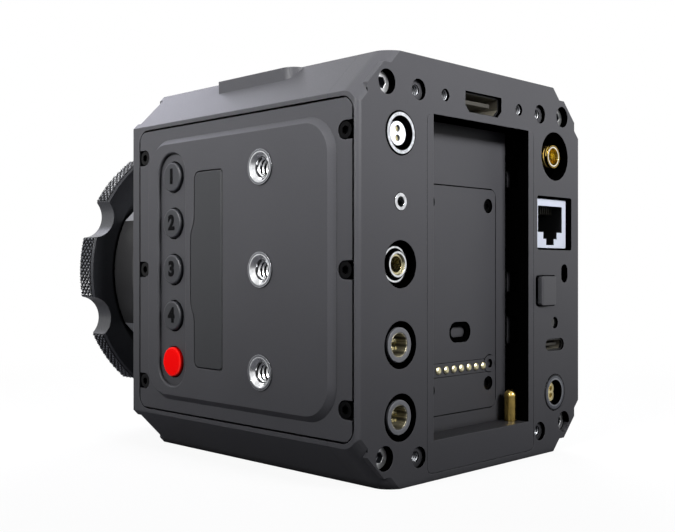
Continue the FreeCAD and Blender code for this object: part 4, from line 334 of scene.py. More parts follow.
def flatted_neck(name, colour):
    """Black anodised neck whose four milled flats are painted pale grey."""
    material, tree, place = start(name)
    # The flats face half-way between sideways and up, where x times z of the normal is 0.5, and
    # their distance from the lens axis keeps the throat's inner faces out
    diagonal, flat_reach, flat_spread = 0.497, 34.0, 2.6
    facing = add(tree, GEOMETRY, output="True Normal")
    sideways, upwards = (add(tree, SEPARATE, {0: facing}, axis) for axis in "XZ")
    slope = add(tree, MATH, {0: sideways, 1: upwards}, operation="MULTIPLY")
    slope = add(tree, MATH, {0: slope}, operation="ABSOLUTE")
    flat = add(tree, MATH, {0: slope, 1: diagonal}, operation="GREATER_THAN")
    reach = axis_reach(tree, place, 1, [LENS_AXIS])
    reach = add(tree, MATH, {0: reach, 1: flat_reach, 2: flat_spread}, operation="COMPARE")
    flat = add(tree, MATH, {0: flat, 1: reach}, operation="MULTIPLY")
    grain = add(tree, NOISE, {"Vector": place, "Scale": per(0.3), "Detail": 2.0}, "Fac")
    dyed = add(tree, MIX, {0: grain, 6: shade(colour, 0.8), 7: shade(colour, 1.3)}, 2, data_type="RGBA")
    tone = add(tree, MIX, {0: flat, 6: dyed, 7: srgb("#7d7e82")}, 2, data_type="RGBA")
    rough = add(tree, MAP_RANGE, {0: grain, **NOISE_SPAN, 3: 0.42, 4: 0.52})
    normal = rounded_normal(tree, 0.22, grain, 0.012)
    return close(material, tree, tone, rough, {"Specular IOR Level": 0.3, "Normal": normal})


def port_shell(name, colour):
    """Drawn and tinned port shell: its front edge painted black, a painted shade, and a dull champagne
    inside.
    """
    material, tree, place = start(name)
    depth = add(tree, SEPARATE, {0: place}, "Y")
    edge = add(tree, MATH, {0: depth, 1: PORT_EDGE - 0.1 * MM}, operation="GREATER_THAN")
    film = add(tree, NOISE, {"Vector": place, "Scale": per(0.35), "Detail": 3.0}, "Fac")
    inside = add(tree, MIX, {0: film, 6: shade(colour, 0.5), 7: colour}, 2, data_type="RGBA")
    # Painted shade: the front edge is painted black
    tone = add(tree, MIX, {0: edge, 6: inside, 7: srgb("#0b0b0b")}, 2, data_type="RGBA")
    rough = add(tree, MAP_RANGE, {0: film, **NOISE_SPAN, 3: 0.35, 4: 0.5})
    return close(material, tree, tone, rough, {"Metallic": 0.3})


def knurled_aluminium(name, colour):
    """Black anodised knurling: painted shade in the cuts, and a painted highlight on the diamonds' points."""
    material, tree, place = start(name)
    reach = axis_reach(tree, place, 1, [LENS_AXIS])
    # The lands are 43.5 mm from the lens axis, and the points stand 0.45 mm above them
    point = add(tree, MAP_RANGE, {0: reach, 1: 43.64, 2: 43.84, 3: 0.0, 4: 1.0})
    grain = add(tree, NOISE, {"Vector": place, "Scale": per(0.5), "Detail": 2.0}, "Fac")
    # Painted shade in the cuts and a painted highlight on the points
    tone = add(tree, MIX, {0: point, 6: shade(colour, 0.05), 7: shade(colour, 3.5)}, 2, data_type="RGBA")
    rough = add(tree, MAP_RANGE, {0: grain, 3: 0.2, 4: 0.35})
    gloss = add(tree, MAP_RANGE, {0: point, 3: 0.1, 4: 0.9})
    return close(material, tree, tone, rough, {"Specular IOR Level": gloss})


def moulded_plastic(name, colour, roughness=0.42, grain_size=0.2, specular=0.4, rim=None, tint=None):
    """Injection-moulded plastic or rubber: spark-eroded skin, slightly uneven tone, soft edges painted paler
    as a painted highlight, and painted shade in crevices.
    """
    material, tree, place = start(name)
    cloud = add(tree, NOISE, {"Vector": place, "Scale": per(9), "Detail": 2.0}, "Fac")
    grain = add(tree, NOISE, {"Vector": place, "Scale": per(grain_size), "Detail": 2.0}, "Fac")
    tone = add(tree, MIX, {0: cloud, 6: shade(colour, 0.93), 7: shade(colour, 1.07)}, 2, data_type="RGBA")
    # Edges painted paler, towards the rim colour: a painted highlight
    worn_and_highlit_edges = add(tree, MATH, {0: edge_mask(tree, 0.6), 1: 0.7}, operation="MULTIPLY")
    tone = add(tree, MIX, {0: worn_and_highlit_edges, 6: tone, 7: rim or shade(colour, 1.7)}, 2, data_type="RGBA")
    # Painted shade in crevices
    tone = add(tree, MIX, {0: open_sky(tree, 1.6), 6: shade(colour, 0.2), 7: tone}, 2, data_type="RGBA")
    rough = add(tree, MAP_RANGE, {0: grain, **NOISE_SPAN, 3: roughness - 0.03, 4: roughness + 0.05})
    normal = rounded_normal(tree, 0.3, grain, 0.008)
    return close(material, tree, tone, rough, {"Specular IOR Level": specular,
                                               "Specular Tint": tint or srgb("#ffffff"), "Normal": normal})


def plated_metal(name, colour, roughness=0.16, tarnish=0.8, hollow_shade=0.08, width=1.4):
    """Bright plating on turned metal: fine tool marks, small changes of tone, and painted shade in its
    hollows.
    """
    material, tree, place = start(name)
    film = add(tree, NOISE, {"Vector": place, "Scale": per(1.4), "Detail": 3.0}, "Fac")
    marks = add(tree, NOISE, {"Vector": place, "Scale": per(0.12), "Detail": 1.0}, "Fac")
    tone = add(tree, MIX, {0: film, 6: shade(colour, tarnish), 7: colour}, 2, data_type="RGBA")
    # Painted shade in hollows
    tone = add(tree, MIX, {0: open_sky(tree, width, 0.3, 0.75), 6: shade(colour, hollow_shade), 7: tone}, 2,
               data_type="RGBA")
    rough = add(tree, MAP_RANGE, {0: film, **NOISE_SPAN, 3: roughness * 0.8, 4: roughness * 1.3})
    normal = rounded_normal(tree, 0.08, marks, 0.002)
    return close(material, tree, tone, rough, {"Metallic": 1.0, "Normal": normal})


def socketed_steel(name, colour, face, roughness=0.3):
    """Nickel-plated cap screws: a clean polished head, and the key socket below its face painted dull grey, a
    painted shade.
    """
    material, tree, place = start(name)
    depth = add(tree, SEPARATE, {0: place}, "Y")
    head = add(tree, MATH, {0: depth, 1: face - 0.2 * MM}, operation="GREATER_THAN")
    film = add(tree, NOISE, {"Vector": place, "Scale": per(1.8), "Detail": 2.0}, "Fac")
    plate = add(tree, MIX, {0: film, 6: shade(colour, 0.85), 7: colour}, 2, data_type="RGBA")
    # Painted shade: the key socket below the face is painted grey
    tone = add(tree, MIX, {0: head, 6: srgb("#55565a"), 7: plate}, 2, data_type="RGBA")
    rough = add(tree, MAP_RANGE, {0: film, **NOISE_SPAN, 3: roughness * 0.9, 4: roughness * 1.2})
    normal = rounded_normal(tree, 0.15)
    return close(material, tree, tone, rough, {"Metallic": 1.0, "Normal": normal})


def ringed_metal(name, axis, spots, roughness, first, *steps):
    """Turned and plated rings about parallel axes: each land, groove and bore gets a tone of its own, partly
    painted light: dark bores and grooves are painted shade, bright rims painted highlights.

    The first colour is at the axis, and each step is a radius in millimetres and the colour past it."""
    material, tree, place = start(name)
    tone = bands(tree, axis_reach(tree, place, axis, spots), first, *steps)
    film = add(tree, NOISE, {"Vector": place, "Scale": per(0.9), "Detail": 3.0}, "Fac")
    fade = add(tree, MAP_RANGE, {0: film, **NOISE_SPAN, 3: 0.0, 4: 0.35})
    tone = add(tree, MIX, {0: fade, 6: tone, 7: srgb("#26272a")}, 2, data_type="RGBA")
    rough = add(tree, MAP_RANGE, {0: film, **NOISE_SPAN, 3: roughness * 0.8, 4: roughness * 1.3})
    normal = rounded_normal(tree, 0.1, film, 0.004)
    return close(material, tree, tone, rough, {"Metallic": 1.0, "Normal": normal})


def contact_cage(name, colour):
    """Champagne-plated spring cage: the bright leaves and dark slots run along the plug."""
    material, tree, place = start(name)
    # A wave of scale 1 repeats every tau / 20, and the leaves are 1.7 mm apart
    waves = math.tau / 20 / (1.7 * MM)
    leaves = add(tree, "ShaderNodeTexWave", {"Vector": place, "Scale": waves, "Distortion": 1.2,
                                             "Detail": 2.0}, "Fac", bands_direction="Z")
    tone = add(tree, MIX, {0: leaves, 6: shade(colour, 0.12), 7: colour}, 2, data_type="RGBA")
    rough = add(tree, MAP_RANGE, {0: leaves, 3: 0.5, 4: 0.25})
    return close(material, tree, tone, rough, {"Metallic": 0.7})


def turned_steel(name, colour, roughness=0.28):
    """Stainless steel faced on a lathe: rings of fine marks round the lens axis."""
    material, tree, place = start(name)
    reach = axis_reach(tree, place, 1, [LENS_AXIS])
    # Real tool marks are 0.05 mm apart: drawn at 0.15 mm so that they show
    rings = add(tree, NOISE, {"W": reach, "Scale": 1 / 0.15, "Detail": 3.0}, "Fac", noise_dimensions="1D")
    tone = add(tree, MIX, {0: rings, 6: shade(colour, 0.82), 7: colour}, 2, data_type="RGBA")
    rough = add(tree, MAP_RANGE, {0: rings, **NOISE_SPAN, 3: roughness - 0.06, 4: roughness + 0.08})
    normal = rounded_normal(tree, 0.1, rings, 0.004)
    return close(material, tree, tone, rough, {"Metallic": 1.0, "Normal": normal})


def tin_plated_jack(name, colour):
    """The jack: a pale plated face, and black glass-filled nylon inside the plug opening."""
    material, tree, place = start(name)
    depth = add(tree, SEPARATE, {0: place}, "Y")
    face = add(tree, MATH, {0: depth, 1: JACK_FACE - 0.05 * MM}, operation="GREATER_THAN")
    film = add(tree, NOISE, {"Vector": place, "Scale": per(2.5), "Detail": 3.0}, "Fac")
    pale = add(tree, MIX, {0: film, 6: shade(colour, 0.9), 7: shade(colour, 1.08)}, 2, data_type="RGBA")
    tone = add(tree, MIX, {0: face, 6: srgb("#08080a"), 7: pale}, 2, data_type="RGBA")
    rough = add(tree, MAP_RANGE, {0: face, 3: 0.55, 4: 0.3})
    fine = add(tree, NOISE, {"Vector": place, "Scale": per(0.2), "Detail": 2.0}, "Fac")
    normal = rounded_normal(tree, 0.15, fine, 0.006)
    return close(material, tree, tone, rough, {"Specular IOR Level": 0.3, "Normal": normal})


def circuit_board(name, colour):
    """Glass-epoxy board under solder mask: copper tracks show as a faint raised maze."""
    material, tree, place = start(name)
    cells = add(tree, "ShaderNodeTexVoronoi", {"Vector": place, "Scale": per(3.2)}, "Distance",
                distance="MANHATTAN")
    tracks = add(tree, MAP_RANGE, {0: cells, 1: 0.32, 2: 0.38})
    tone = add(tree, MIX, {0: tracks, 6: colour, 7: shade(colour, 1.8)}, 2, data_type="RGBA")
    rough = add(tree, MAP_RANGE, {0: tracks, 3: 0.32, 4: 0.24})
    normal = add(tree, BUMP, {"Distance": 0.03 * MM, "Height": tracks})
    return close(material, tree, tone, rough, {"Normal": normal})


def coated_filter(name):
    """Infrared-cut glass: almost clear, with a faint cyan body and a pink coating sheen."""
    material, tree, place = start(name)
    film = add(tree, NOISE, {"Vector": place, "Scale": per(12), "Detail": 2.0}, "Fac")
    rough = add(tree, MAP_RANGE, {0: film, 3: 0.01, 4: 0.03})
    return close(material, tree, srgb("#cfe9e6"), rough, {"Transmission Weight": 1.0, "IOR": 1.52,
                                                          "Coat Weight": 0.6, "Coat Roughness": 0.02,
                                                          "Coat Tint": srgb("#f3b9cf")})


def silicon_sensor(name):
    """A CMOS sensor: a dark iridescent photosite field inside a ceramic border."""
    material, tree, place = start(name)
    border = Vector((5.5 * MM, -1 * MM, 5.5 * MM))
    field = inside_box(tree, place, SENSOR_LOW + border, SENSOR_HIGH - border)
    cloud = add(tree, NOISE, {"Vector": place, "Scale": per(16), "Detail": 1.0}, "Fac")
    sheen = add(tree, MIX, {0: cloud, 6: srgb("#16283a"), 7: srgb("#2c2038")}, 2, data_type="RGBA")
    tone = add(tree, MIX, {0: field, 6: srgb("#2b2f2c"), 7: sheen}, 2, data_type="RGBA")
    rough = add(tree, MAP_RANGE, {0: field, 3: 0.5, 4: 0.12})
    return close(material, tree, tone, rough, {"Specular IOR Level": 0.7})


def display_glass(name):
    """Black-printed cover glass with a slightly paler liquid-crystal window under it."""
    material, tree, place = start(name)
    border = Vector((2.6 * MM, 2.6 * MM, -1 * MM))
    window = inside_box(tree, place, DISPLAY_LOW + border, DISPLAY_HIGH - border)
    tone = add(tree, MIX, {0: window, 6: srgb("#060607"), 7: srgb("#1c211f")}, 2, data_type="RGBA")
    dust = add(tree, NOISE, {"Vector": place, "Scale": per(0.6), "Detail": 4.0}, "Fac")
    rough = add(tree, MAP_RANGE, {0: dust, 3: 0.05, 4: 0.11})
    return close(material, tree, tone, rough, {"Coat Weight": 0.25, "Coat Roughness": 0.03,
                                               "Specular IOR Level": 0.3})


def clear_guide(name):
    """A frosted acrylic light guide over the status lamp, unlit, painted near-black: a painted shade of the
    hole it sits in.
    """
    material, tree, place = start(name)
    frost = add(tree, NOISE, {"Vector": place, "Scale": per(0.3), "Detail": 2.0}, "Fac")
    rough = add(tree, MAP_RANGE, {0: frost, 3: 0.06, 4: 0.15})
    return close(material, tree, srgb("#141515"), rough, {"Transmission Weight": 0.3, "IOR": 1.49})


def paint(material, *names):
    """Gives CAD nodes a finish."""
    for name in names:
        node = NODES[name]
        if not node.material_slots:
            node.data.materials.append(material)
        for holder in node.material_slots:
            holder.material = material


def finish(piece, name, body, material):
    """Names a new piece, gives it its finish and lets it ride on its body."""
    piece.name = name
    piece.data.name = name
    piece.data.materials.clear()
    piece.data.materials.append(material)
    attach(piece, body)
    return piece


def middle_of(name):
    """The middle of a node's box, through which the axis of a round part runs."""
    low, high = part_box(name)
    return Vector(((low.x + high.x) / 2, (low.y + high.y) / 2, (low.z + high.z) / 2))


def side_insert_spots():
    """Where the axes of the three side inserts cross the middle plane, from the bottom up."""
    low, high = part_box("side_inserts")
    pitch = (high.z - low.z) / 2 - SIDE_INSERT_RIM
    middle = middle_of("side_inserts")
    return [Vector((0, middle.y, middle.z + pitch * step)) for step in (-1, 0, 1)]


def tripod_insert_spots():
    """Where the axes of the front and rear tripod inserts cross the base plane."""
    low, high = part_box("tripod_inserts")
    return [Vector((0, low.y + TRIPOD_INSERT_RIM, 0)), Vector((0, high.y - TRIPOD_INSERT_RIM, 0))]


def multi_socket_spots():
    """The axes of the lower and upper multi-pin sockets."""
    low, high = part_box("multi_sockets")
    middle = middle_of("multi_sockets")
    return [Vector((middle.x, 0, low.z + SOCKET_RIM)), Vector((middle.x, 0, high.z - SOCKET_RIM))]


def deselect():
    bpy.ops.object.select_all(action="DESELECT")


def select(*pieces):
    """Selects these pieces alone and makes the first one active."""
    deselect()
    for piece in pieces:
        piece.select_set(True)
    bpy.context.view_layer.objects.active = pieces[0]


def active():
    return bpy.context.view_layer.objects.active


def settle(piece):
    """Writes the piece's place and turn into its mesh."""
    select(piece)
    bpy.ops.object.transform_apply(location=True, rotation=True, scale=True)


def join(pieces):
    select(*pieces)
    bpy.ops.object.join()
    return active()


def face_outwards(piece):
    """Recalculates a mesh's normals, so that its faces point outwards."""
    select(piece)
    bpy.ops.object.mode_set(mode="EDIT")
    bpy.ops.mesh.select_all(action="SELECT")
    bpy.ops.mesh.normals_make_consistent(inside=False)
    bpy.ops.object.mode_set(mode="OBJECT")


def copy_of(piece, move=(0, 0, 0), turn=None):
    """Another piece with a mesh of its own, turned about the origin and then moved."""
    other = piece.copy()
    other.data = piece.data.copy()
    bpy.context.scene.collection.objects.link(other)
    shift = Matrix.Translation(Vector(move))
    other.data.transform(shift @ turn if turn else shift)
    return other


def apply_modifier(piece, kind, **settings):
    modifier = piece.modifiers.new(kind.lower(), kind)
    for name, value in settings.items():
        setattr(modifier, name, value)
    bpy.context.view_layer.objects.active = piece
    bpy.ops.object.modifier_apply(modifier=modifier.name)


class CAMERA_OT_finishes(bpy.types.Operator):
    """Give every CAD node the finish of the real piece"""
    bl_idname = "camera_part.finishes"
    bl_label = "Finish the CAD nodes"

    def inset(self, name, *rim):
        """A node's box, drawn in by a rim in millimetres along each axis, or let out by a negative one."""
        low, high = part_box(name)
        return low + Vector(rim) * MM, high - Vector(rim) * MM

    def execute(self, context):
        colours = context.scene.camera_colours
        paint(blasted_aluminium("bead_blasted_aluminium", colours.housing), "main_housing")
        paint(blasted_aluminium("black_edged_aluminium", colours.housing, pocket_shade=True,
                                outline=self.inset("left_side_cover", -100, 0.2, 0.2)),
              "left_side_cover", "right_side_cover")
        # Painted shade on the plate's pockets and sunk faces, and a dark joint line round it
        paint(blasted_aluminium("pocket_shaded_aluminium", colours.housing, pocket_shade=True,
                                sunk=BAY_BACK - 0.3 * MM, outline=self.inset("bay_plate", 0.18, -1, 0.18)),
              "bay_plate")
        paint(blasted_aluminium("black_outlined_strip", colours.housing, pocket_shade=True,
                                outline=self.inset("contact_strip", 0.18, -1, 0.18)),
              "contact_strip")
        # Painted shade on pocket walls, and the dark seam between the housings
        paint(blasted_aluminium("blasted_aluminium_pocket_shade", colours.housing, pocket_shade=True),
              "rear_housing", "battery_tray", "power_button")
        paint(blasted_aluminium("black_anodised_aluminium", colours.inside, 0.5),
              "sensor_carrier", "heat_sink")
        paint(flatted_neck("black_anodised_neck", colours.inside), "mount_block")
        paint(blasted_aluminium("satin_anodised_ring", colours.ring, 0.3, 0.45), "locking_ring")
        paint(plated_metal("bright_nickel_plate", colours.nickel), "board_spacers")
        paint(socketed_steel("nickel_plated_cap_screws", srgb("#f4f5f7"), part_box("corner_screws")[1].y),
              "corner_screws")

        # Axis 0 runs from side to side, 1 from front to rear and 2 up
        # The bands are partly painted light: black bores, grooves and borders are painted shade, and the
        # whitest rims painted highlights and reflections
        paint(ringed_metal("turned_insert_steel", 0, side_insert_spots(), 0.22, srgb("#f2f3f5"),
                           (2.30, srgb("#0c0c0d")), (2.56, srgb("#f2f3f5")), (3.45, srgb("#e9eaec")),
                           (3.75, srgb("#7c7e83")), (4.15, srgb("#a9aaad"))), "side_inserts")
        paint(ringed_metal("turned_tripod_steel", 2, tripod_insert_spots(), 0.22, srgb("#f2f3f5"),
                           (2.42, srgb("#1b1b1c")), (2.75, srgb("#b9bbbf"))), "tripod_inserts")
        paint(ringed_metal("plated_power_inlet", 1, [middle_of("power_inlet")], 0.12, srgb("#060607"),
                           (3.97, srgb("#f2f5fb")), (4.72, srgb("#0a0a0a"))), "power_inlet")
        paint(ringed_metal("plated_small_jack", 1, [middle_of("small_jack")], 0.15, srgb("#060607"),
                           (1.15, srgb("#e6e8ec"))), "small_jack")
        paint(ringed_metal("plated_video_socket", 1, [middle_of("video_socket")], 0.14, srgb("#2b2c2e"),
                           (2.45, srgb("#eef0f3")), (2.95, srgb("#1d1e20")), (3.75, srgb("#eef0f3")),
                           (4.12, srgb("#8e9196"))), "video_socket")
        paint(ringed_metal("grey_multi_sockets", 1, multi_socket_spots(), 0.3, srgb("#8d8672"),
                           (2.7, srgb("#5c5d61")), (3.75, srgb("#060607"))), "multi_sockets")
        paint(ringed_metal("dark_chrome_two_pin", 1, [middle_of("two_pin_socket")], 0.14, srgb("#0a0a0b"),
                           (3.47, srgb("#c3c6cb")), (3.85, srgb("#8b8e94")), (4.5, srgb("#3a3b3e"))),
              "two_pin_socket")
        paint(ringed_metal("gold_antenna_socket", 1, [middle_of("antenna_socket")], 0.2, srgb("#ffe87a"),
                           (2.42, srgb("#fffaf0")), (2.72, srgb("#6e5a24")), (3.0, srgb("#e8c256"))),
              "antenna_socket")
        paint(plated_metal("gold_plate", colours.gold, 0.18, 0.7, 0.05), "terminal_pins")
        paint(plated_metal("pale_gold_plate", srgb("#f6edc0"), 0.35, 0.95, 0.4), "battery_contacts")
        paint(plated_metal("champagne_plate", srgb("#ddd3a8"), 0.24, 0.85, 0.25),
              "socket_contacts", "multi_socket_pins")
        paint(plated_metal("bright_champagne_plate", srgb("#fff0b8"), 0.35, 0.95, 0.6, 0.6), "two_pin_core")
        # The jack's contacts are painted near-black gold
        paint(plated_metal("near_black_gold_plate", srgb("#171612"), 0.4), "network_contacts")
        paint(plated_metal("black_oxide_steel", srgb("#121213"), 0.34),
              "side_cover_screws", "bay_plate_screws")
        paint(turned_steel("turned_stainless_steel", srgb("#c9cacc")),
              "mount_flange", "mount_screws", "button_domes")
        paint(port_shell("tarnished_port_shell", srgb("#8a8577")), "video_port", "data_port")
        paint(moulded_plastic("black_glass_filled_nylon", srgb("#161617"), 0.5),
              "card_slot", "filter_frame", "fan_frame", "fan_rotor", "power_switch")
        paint(moulded_plastic("smoke_grey_tongues", srgb("#2b2924"), 0.5), "port_tongues")
        # The rim colour is a painted highlight on the caps' edges
        paint(moulded_plastic("moulded_rubber_caps", colours.button, 0.44, 0.25, rim=srgb("#6a6b70")),
              *BUTTONS, *MENU_BUTTONS)
        # The rim colour is a painted highlight on the cap's edge
        paint(moulded_plastic("red_silicone_cap", colours.record, 0.4, 0.3, 0.08, srgb("#ff7468"),
                              srgb("#ff1a10")), "record_button")
        paint(moulded_plastic("elastomer_card_door", colours.door, 0.5, 0.3), "card_door")
        paint(moulded_plastic("white_polyester_insulator", srgb("#d9dce6"), 0.35), "power_inlet_core")
        paint(tin_plated_jack("tin_plated_jack", colours.jack), "network_jack")
        paint(circuit_board("glass_epoxy_board", colours.board),
              "main_board", "connector_board", "button_boards")
        paint(coated_filter("coated_filter_glass"), "sensor_filter")
        paint(silicon_sensor("silicon_sensor"), "image_sensor")
        paint(display_glass("printed_cover_glass"), "top_display")
        paint(clear_guide("frosted_acrylic_guide"), "status_lamp")
        return {"FINISHED"}


class CAMERA_OT_ring_knurl(bpy.types.Operator):
    """Cut diamond knurling on the lands between the lens ring's scallops"""
    bl_idname = "camera_part.ring_knurl"
    bl_label = "Knurl the lens ring"

    def execute(self, context):
        sizes = context.scene.camera_sizes
        # The ring's own scallops, whose lands the knurl covers
        scallops = 9
        scallop_step = math.tau / scallops
        first_scallop = math.radians(22.0)
        half_scallop = math.radians(8.15)
        radius = 43.5 * MM
        lift = 0.01 * MM
        chamfers = 1.1 * MM
        width = RING_HIGH.y - RING_LOW.y - chamfers
        middle = (RING_HIGH.y + RING_LOW.y) / 2
        length = (scallop_step - 2 * half_scallop) * radius
        pitch = sizes.knurl_pitch
        cells = int(2 * length / pitch)
        deselect()
        bpy.ops.mesh.primitive_grid_add(x_subdivisions=cells, y_subdivisions=cells,
                                        size=cells * pitch / math.sqrt(2), location=(0, 0, 0),
                                        rotation=(0, 0, math.pi / 4))
        piece = active()
        settle(piece)
        bpy.ops.object.mode_set(mode="EDIT")
        for plane_co, plane_no in (((length / 2, 0, 0), (1, 0, 0)), ((-length / 2, 0, 0), (-1, 0, 0)),
                                   ((0, width / 2, 0), (0, 1, 0)), ((0, -width / 2, 0), (0, -1, 0))):
            bpy.ops.mesh.select_all(action="SELECT")
            bpy.ops.mesh.bisect(plane_co=plane_co, plane_no=plane_no, clear_outer=True)
        bpy.ops.mesh.select_all(action="SELECT")
        bpy.ops.mesh.poke(offset=sizes.knurl_height)
        bpy.ops.object.mode_set(mode="OBJECT")
        for vertex in piece.data.vertices:
            turn = vertex.co.x / radius
            reach = radius + vertex.co.z + lift
            vertex.co = Vector((reach * math.sin(turn), vertex.co.y, reach * math.cos(turn)))
        lands = []
        for index in range(scallops):
            turn = Matrix.Rotation(math.pi / 2 - first_scallop - scallop_step * (index + 0.5), 4, "Y")
            lands.append(copy_of(piece, LENS_AXIS + Vector((0, middle, 0)), turn))
        bpy.data.objects.remove(piece)
        knurl = join(lands)
        face_outwards(knurl)
        finish(knurl, "ring_knurl", "locking_ring",
               knurled_aluminium("knurled_anodised_aluminium", context.scene.camera_colours.ring))
        return {"FINISHED"}


class CAMERA_OT_button_marks(bpy.types.Operator):
    """Raise a plain number on each side button"""
    bl_idname = "camera_part.button_marks"
    bl_label = "Number the buttons"

    def execute(self, context):
        sizes = context.scene.camera_sizes
        size_per_height = 1.35
        boldness = 0.26 * MM
        ink = moulded_plastic("black_pad_printed_ink", srgb("#020203"), 0.6, 0.2, 0.05)
        for number, name in enumerate(BUTTONS, 1):
            low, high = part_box(name)
            deselect()
            bpy.ops.object.text_add(location=(0, 0, 0))
            text = active()
            text.data.body = str(number)
            text.data.size = sizes.mark_height * size_per_height
            text.data.align_x = "CENTER"
            text.data.align_y = "CENTER"
            text.data.extrude = sizes.mark_rise / 2
            text.data.offset = boldness
            bpy.ops.object.convert(target="MESH")
            piece = active()
            piece.rotation_euler = (math.pi / 2, 0, math.pi / 2)
            piece.location = (high.x + sizes.mark_rise * 0.4, (low.y + high.y) / 2, (low.z + high.z) / 2)
            settle(piece)
            finish(piece, f"mark_{number}", name, ink)
        return {"FINISHED"}


class CAMERA_OT_threads(bpy.types.Operator):
    """Wind a thread inside every insert and round the antenna socket"""
    bl_idname = "camera_part.threads"
    bl_label = "Wind the threads"

    def wind(self, radius, depth, pitch, length):
        """A helical V thread about Z from 0 to a length, its crest at the radius less the depth."""
        deselect()
        bpy.ops.mesh.primitive_circle_add(vertices=3, radius=1, fill_type="NOTHING", location=(0, 0, 0))
        piece = active()
        half_root = 0.34 * pitch
        spots = ((radius, -half_root), (radius - depth, 0), (radius, half_root))
        for vertex, (across, up) in zip(piece.data.vertices, spots):
            vertex.co = Vector((across, 0, up))
        apply_modifier(piece, "SCREW", axis="Z", angle=math.tau, screw_offset=pitch,
                       iterations=int(length / pitch), steps=36, render_steps=36, use_smooth_shade=False)
        # Each turn is joined to the next, and then both ends are closed
        bpy.ops.object.mode_set(mode="EDIT")
        bpy.ops.mesh.select_all(action="SELECT")
        bpy.ops.mesh.remove_doubles(threshold=1e-7)
        bpy.ops.mesh.select_all(action="DESELECT")
        bpy.ops.mesh.select_non_manifold()
        bpy.ops.mesh.fill_holes(sides=4)
        bpy.ops.object.mode_set(mode="OBJECT")
        face_outwards(piece)
        return piece

    def spread(self, thread, places, name, slot, material):
        """Copies a thread to its places and turns, and makes one piece of the copies."""
        copies = [copy_of(thread, move, turn) for move, turn in places]
        bpy.data.objects.remove(thread)
        finish(join(copies), name, "root", material)

    def execute(self, context):
        sizes = context.scene.camera_sizes
        materials = bpy.data.materials
        quarter = math.pi / 2
        bore = 2.58 * MM
        low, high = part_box("side_inserts")
        below_face = 0.95 * MM
        spots = side_insert_spots()
        places = []
        # Three inserts on the button side, and two on the fan side, which has none in the middle
        for side, face, row in ((1, high.x, spots), (-1, low.x, spots[::2])):
            turn = Matrix.Rotation(-side * quarter, 4, "Y")
            places += [((face - side * below_face, spot.y, spot.z), turn) for spot in row]
        self.spread(self.wind(bore, sizes.thread_depth, sizes.thread_pitch, 6.6 * MM), places,
                    "side_insert_threads", "chrome", materials["turned_insert_steel"])

        low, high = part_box("tripod_inserts")
        bottoms = (low.z + 0.7 * MM, high.z - 5.6 * MM)
        places = [((0, spot.y, bottom), None) for spot in tripod_insert_spots() for bottom in bottoms]
        self.spread(self.wind(bore, sizes.thread_depth, sizes.thread_pitch, 5.2 * MM), places,
                    "tripod_insert_threads", "chrome", materials["turned_tripod_steel"])

        # An outside thread, whose crest stands proud of the socket's barrel
        low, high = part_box("antenna_socket")
        axis = middle_of("antenna_socket")
        forwards = Matrix.Rotation(quarter, 4, "X")
        outside = self.wind(3.05 * MM, -0.2 * MM, 0.8 * MM, 4.0 * MM)
        outside.data.transform(Matrix.Translation((axis.x, high.y - 0.5 * MM, axis.z)) @ forwards)
        finish(outside, "antenna_thread", "root", materials["gold_plate"])

        # Small tapped holes in the rear frame: two at the bottom and two at the top, and two shallower
        # ones between the upper pair
        lower, upper = 6.3 * MM, CAD_HIGH.z - 8.4 * MM
        holes = [(side * 25.2 * MM, height, 1.3 * MM) for side in (-1, 1) for height in (lower, upper)]
        holes += [(side * 15.35 * MM, upper, 0.5 * MM) for side in (-1, 1)]
        places = [((across, REAR_FACE - depth, height), forwards) for across, height, depth in holes]
        self.spread(self.wind(1.28 * MM, 0.22 * MM, 0.6 * MM, 3.6 * MM), places,
                    "rear_hole_threads", "steel",
                    plated_metal("dull_thread_steel", srgb("#9c9ea2"), 0.3, 0.9, 0.3, 0.5))
        return {"FINISHED"}


class CAMERA_OT_socket_faces(bpy.types.Operator):
    """Set a turned collar and a champagne sleeve into both multi-pin sockets"""
    bl_idname = "camera_part.socket_faces"
    bl_label = "Face the sockets"

    def tube(self, outer, inner, low, high, x, z):
        """An open-ended ring between two planes across Y."""
        deselect()
        bpy.ops.mesh.primitive_circle_add(vertices=48, radius=outer, fill_type="NOTHING", location=(0, 0, 0),
                                          rotation=(math.pi / 2, 0, 0))
        piece = active()
        settle(piece)
        bpy.ops.object.mode_set(mode="EDIT")
        bpy.ops.mesh.select_all(action="SELECT")
        bpy.ops.mesh.extrude_edges_move(TRANSFORM_OT_translate={"value": (0, high - low, 0)})
        bpy.ops.object.mode_set(mode="OBJECT")
        face_outwards(piece)
        apply_modifier(piece, "SOLIDIFY", thickness=outer - inner, offset=-1.0)
        apply_modifier(piece, "BEVEL", width=0.12 * MM, segments=2, limit_method="ANGLE")
        face_outwards(piece)
        piece.data.transform(Matrix.Translation((x, low, z)))
        return piece

    def execute(self, context):
        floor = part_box("multi_sockets")[1].y
        front = REAR_FACE - 0.3 * MM
        collar_radius, collar_hole, collar_sink = 4.0 * MM, 2.85 * MM, 0.1 * MM
        sleeve_radius, sleeve_hole, sleeve_depth = 2.84 * MM, 2.6 * MM, 4.0 * MM
        collars, sleeves = [], []
        for spot in multi_socket_spots():
            collars.append(self.tube(collar_radius, collar_hole, floor - collar_sink, front, spot.x, spot.z))
            sleeves.append(self.tube(sleeve_radius, sleeve_hole, floor - sleeve_depth, front - 0.15 * MM,
                                     spot.x, spot.z))
        collar = moulded_plastic("grey_anodised_collar", srgb("#5d5e62"), 0.35, 0.3)
        sleeve = contact_cage("champagne_contact_cage", srgb("#c9c2a6"))
        finish(join(collars), "multi_socket_collars", "root", collar)
        finish(join(sleeves), "multi_socket_sleeves", "root", sleeve)
        return {"FINISHED"}


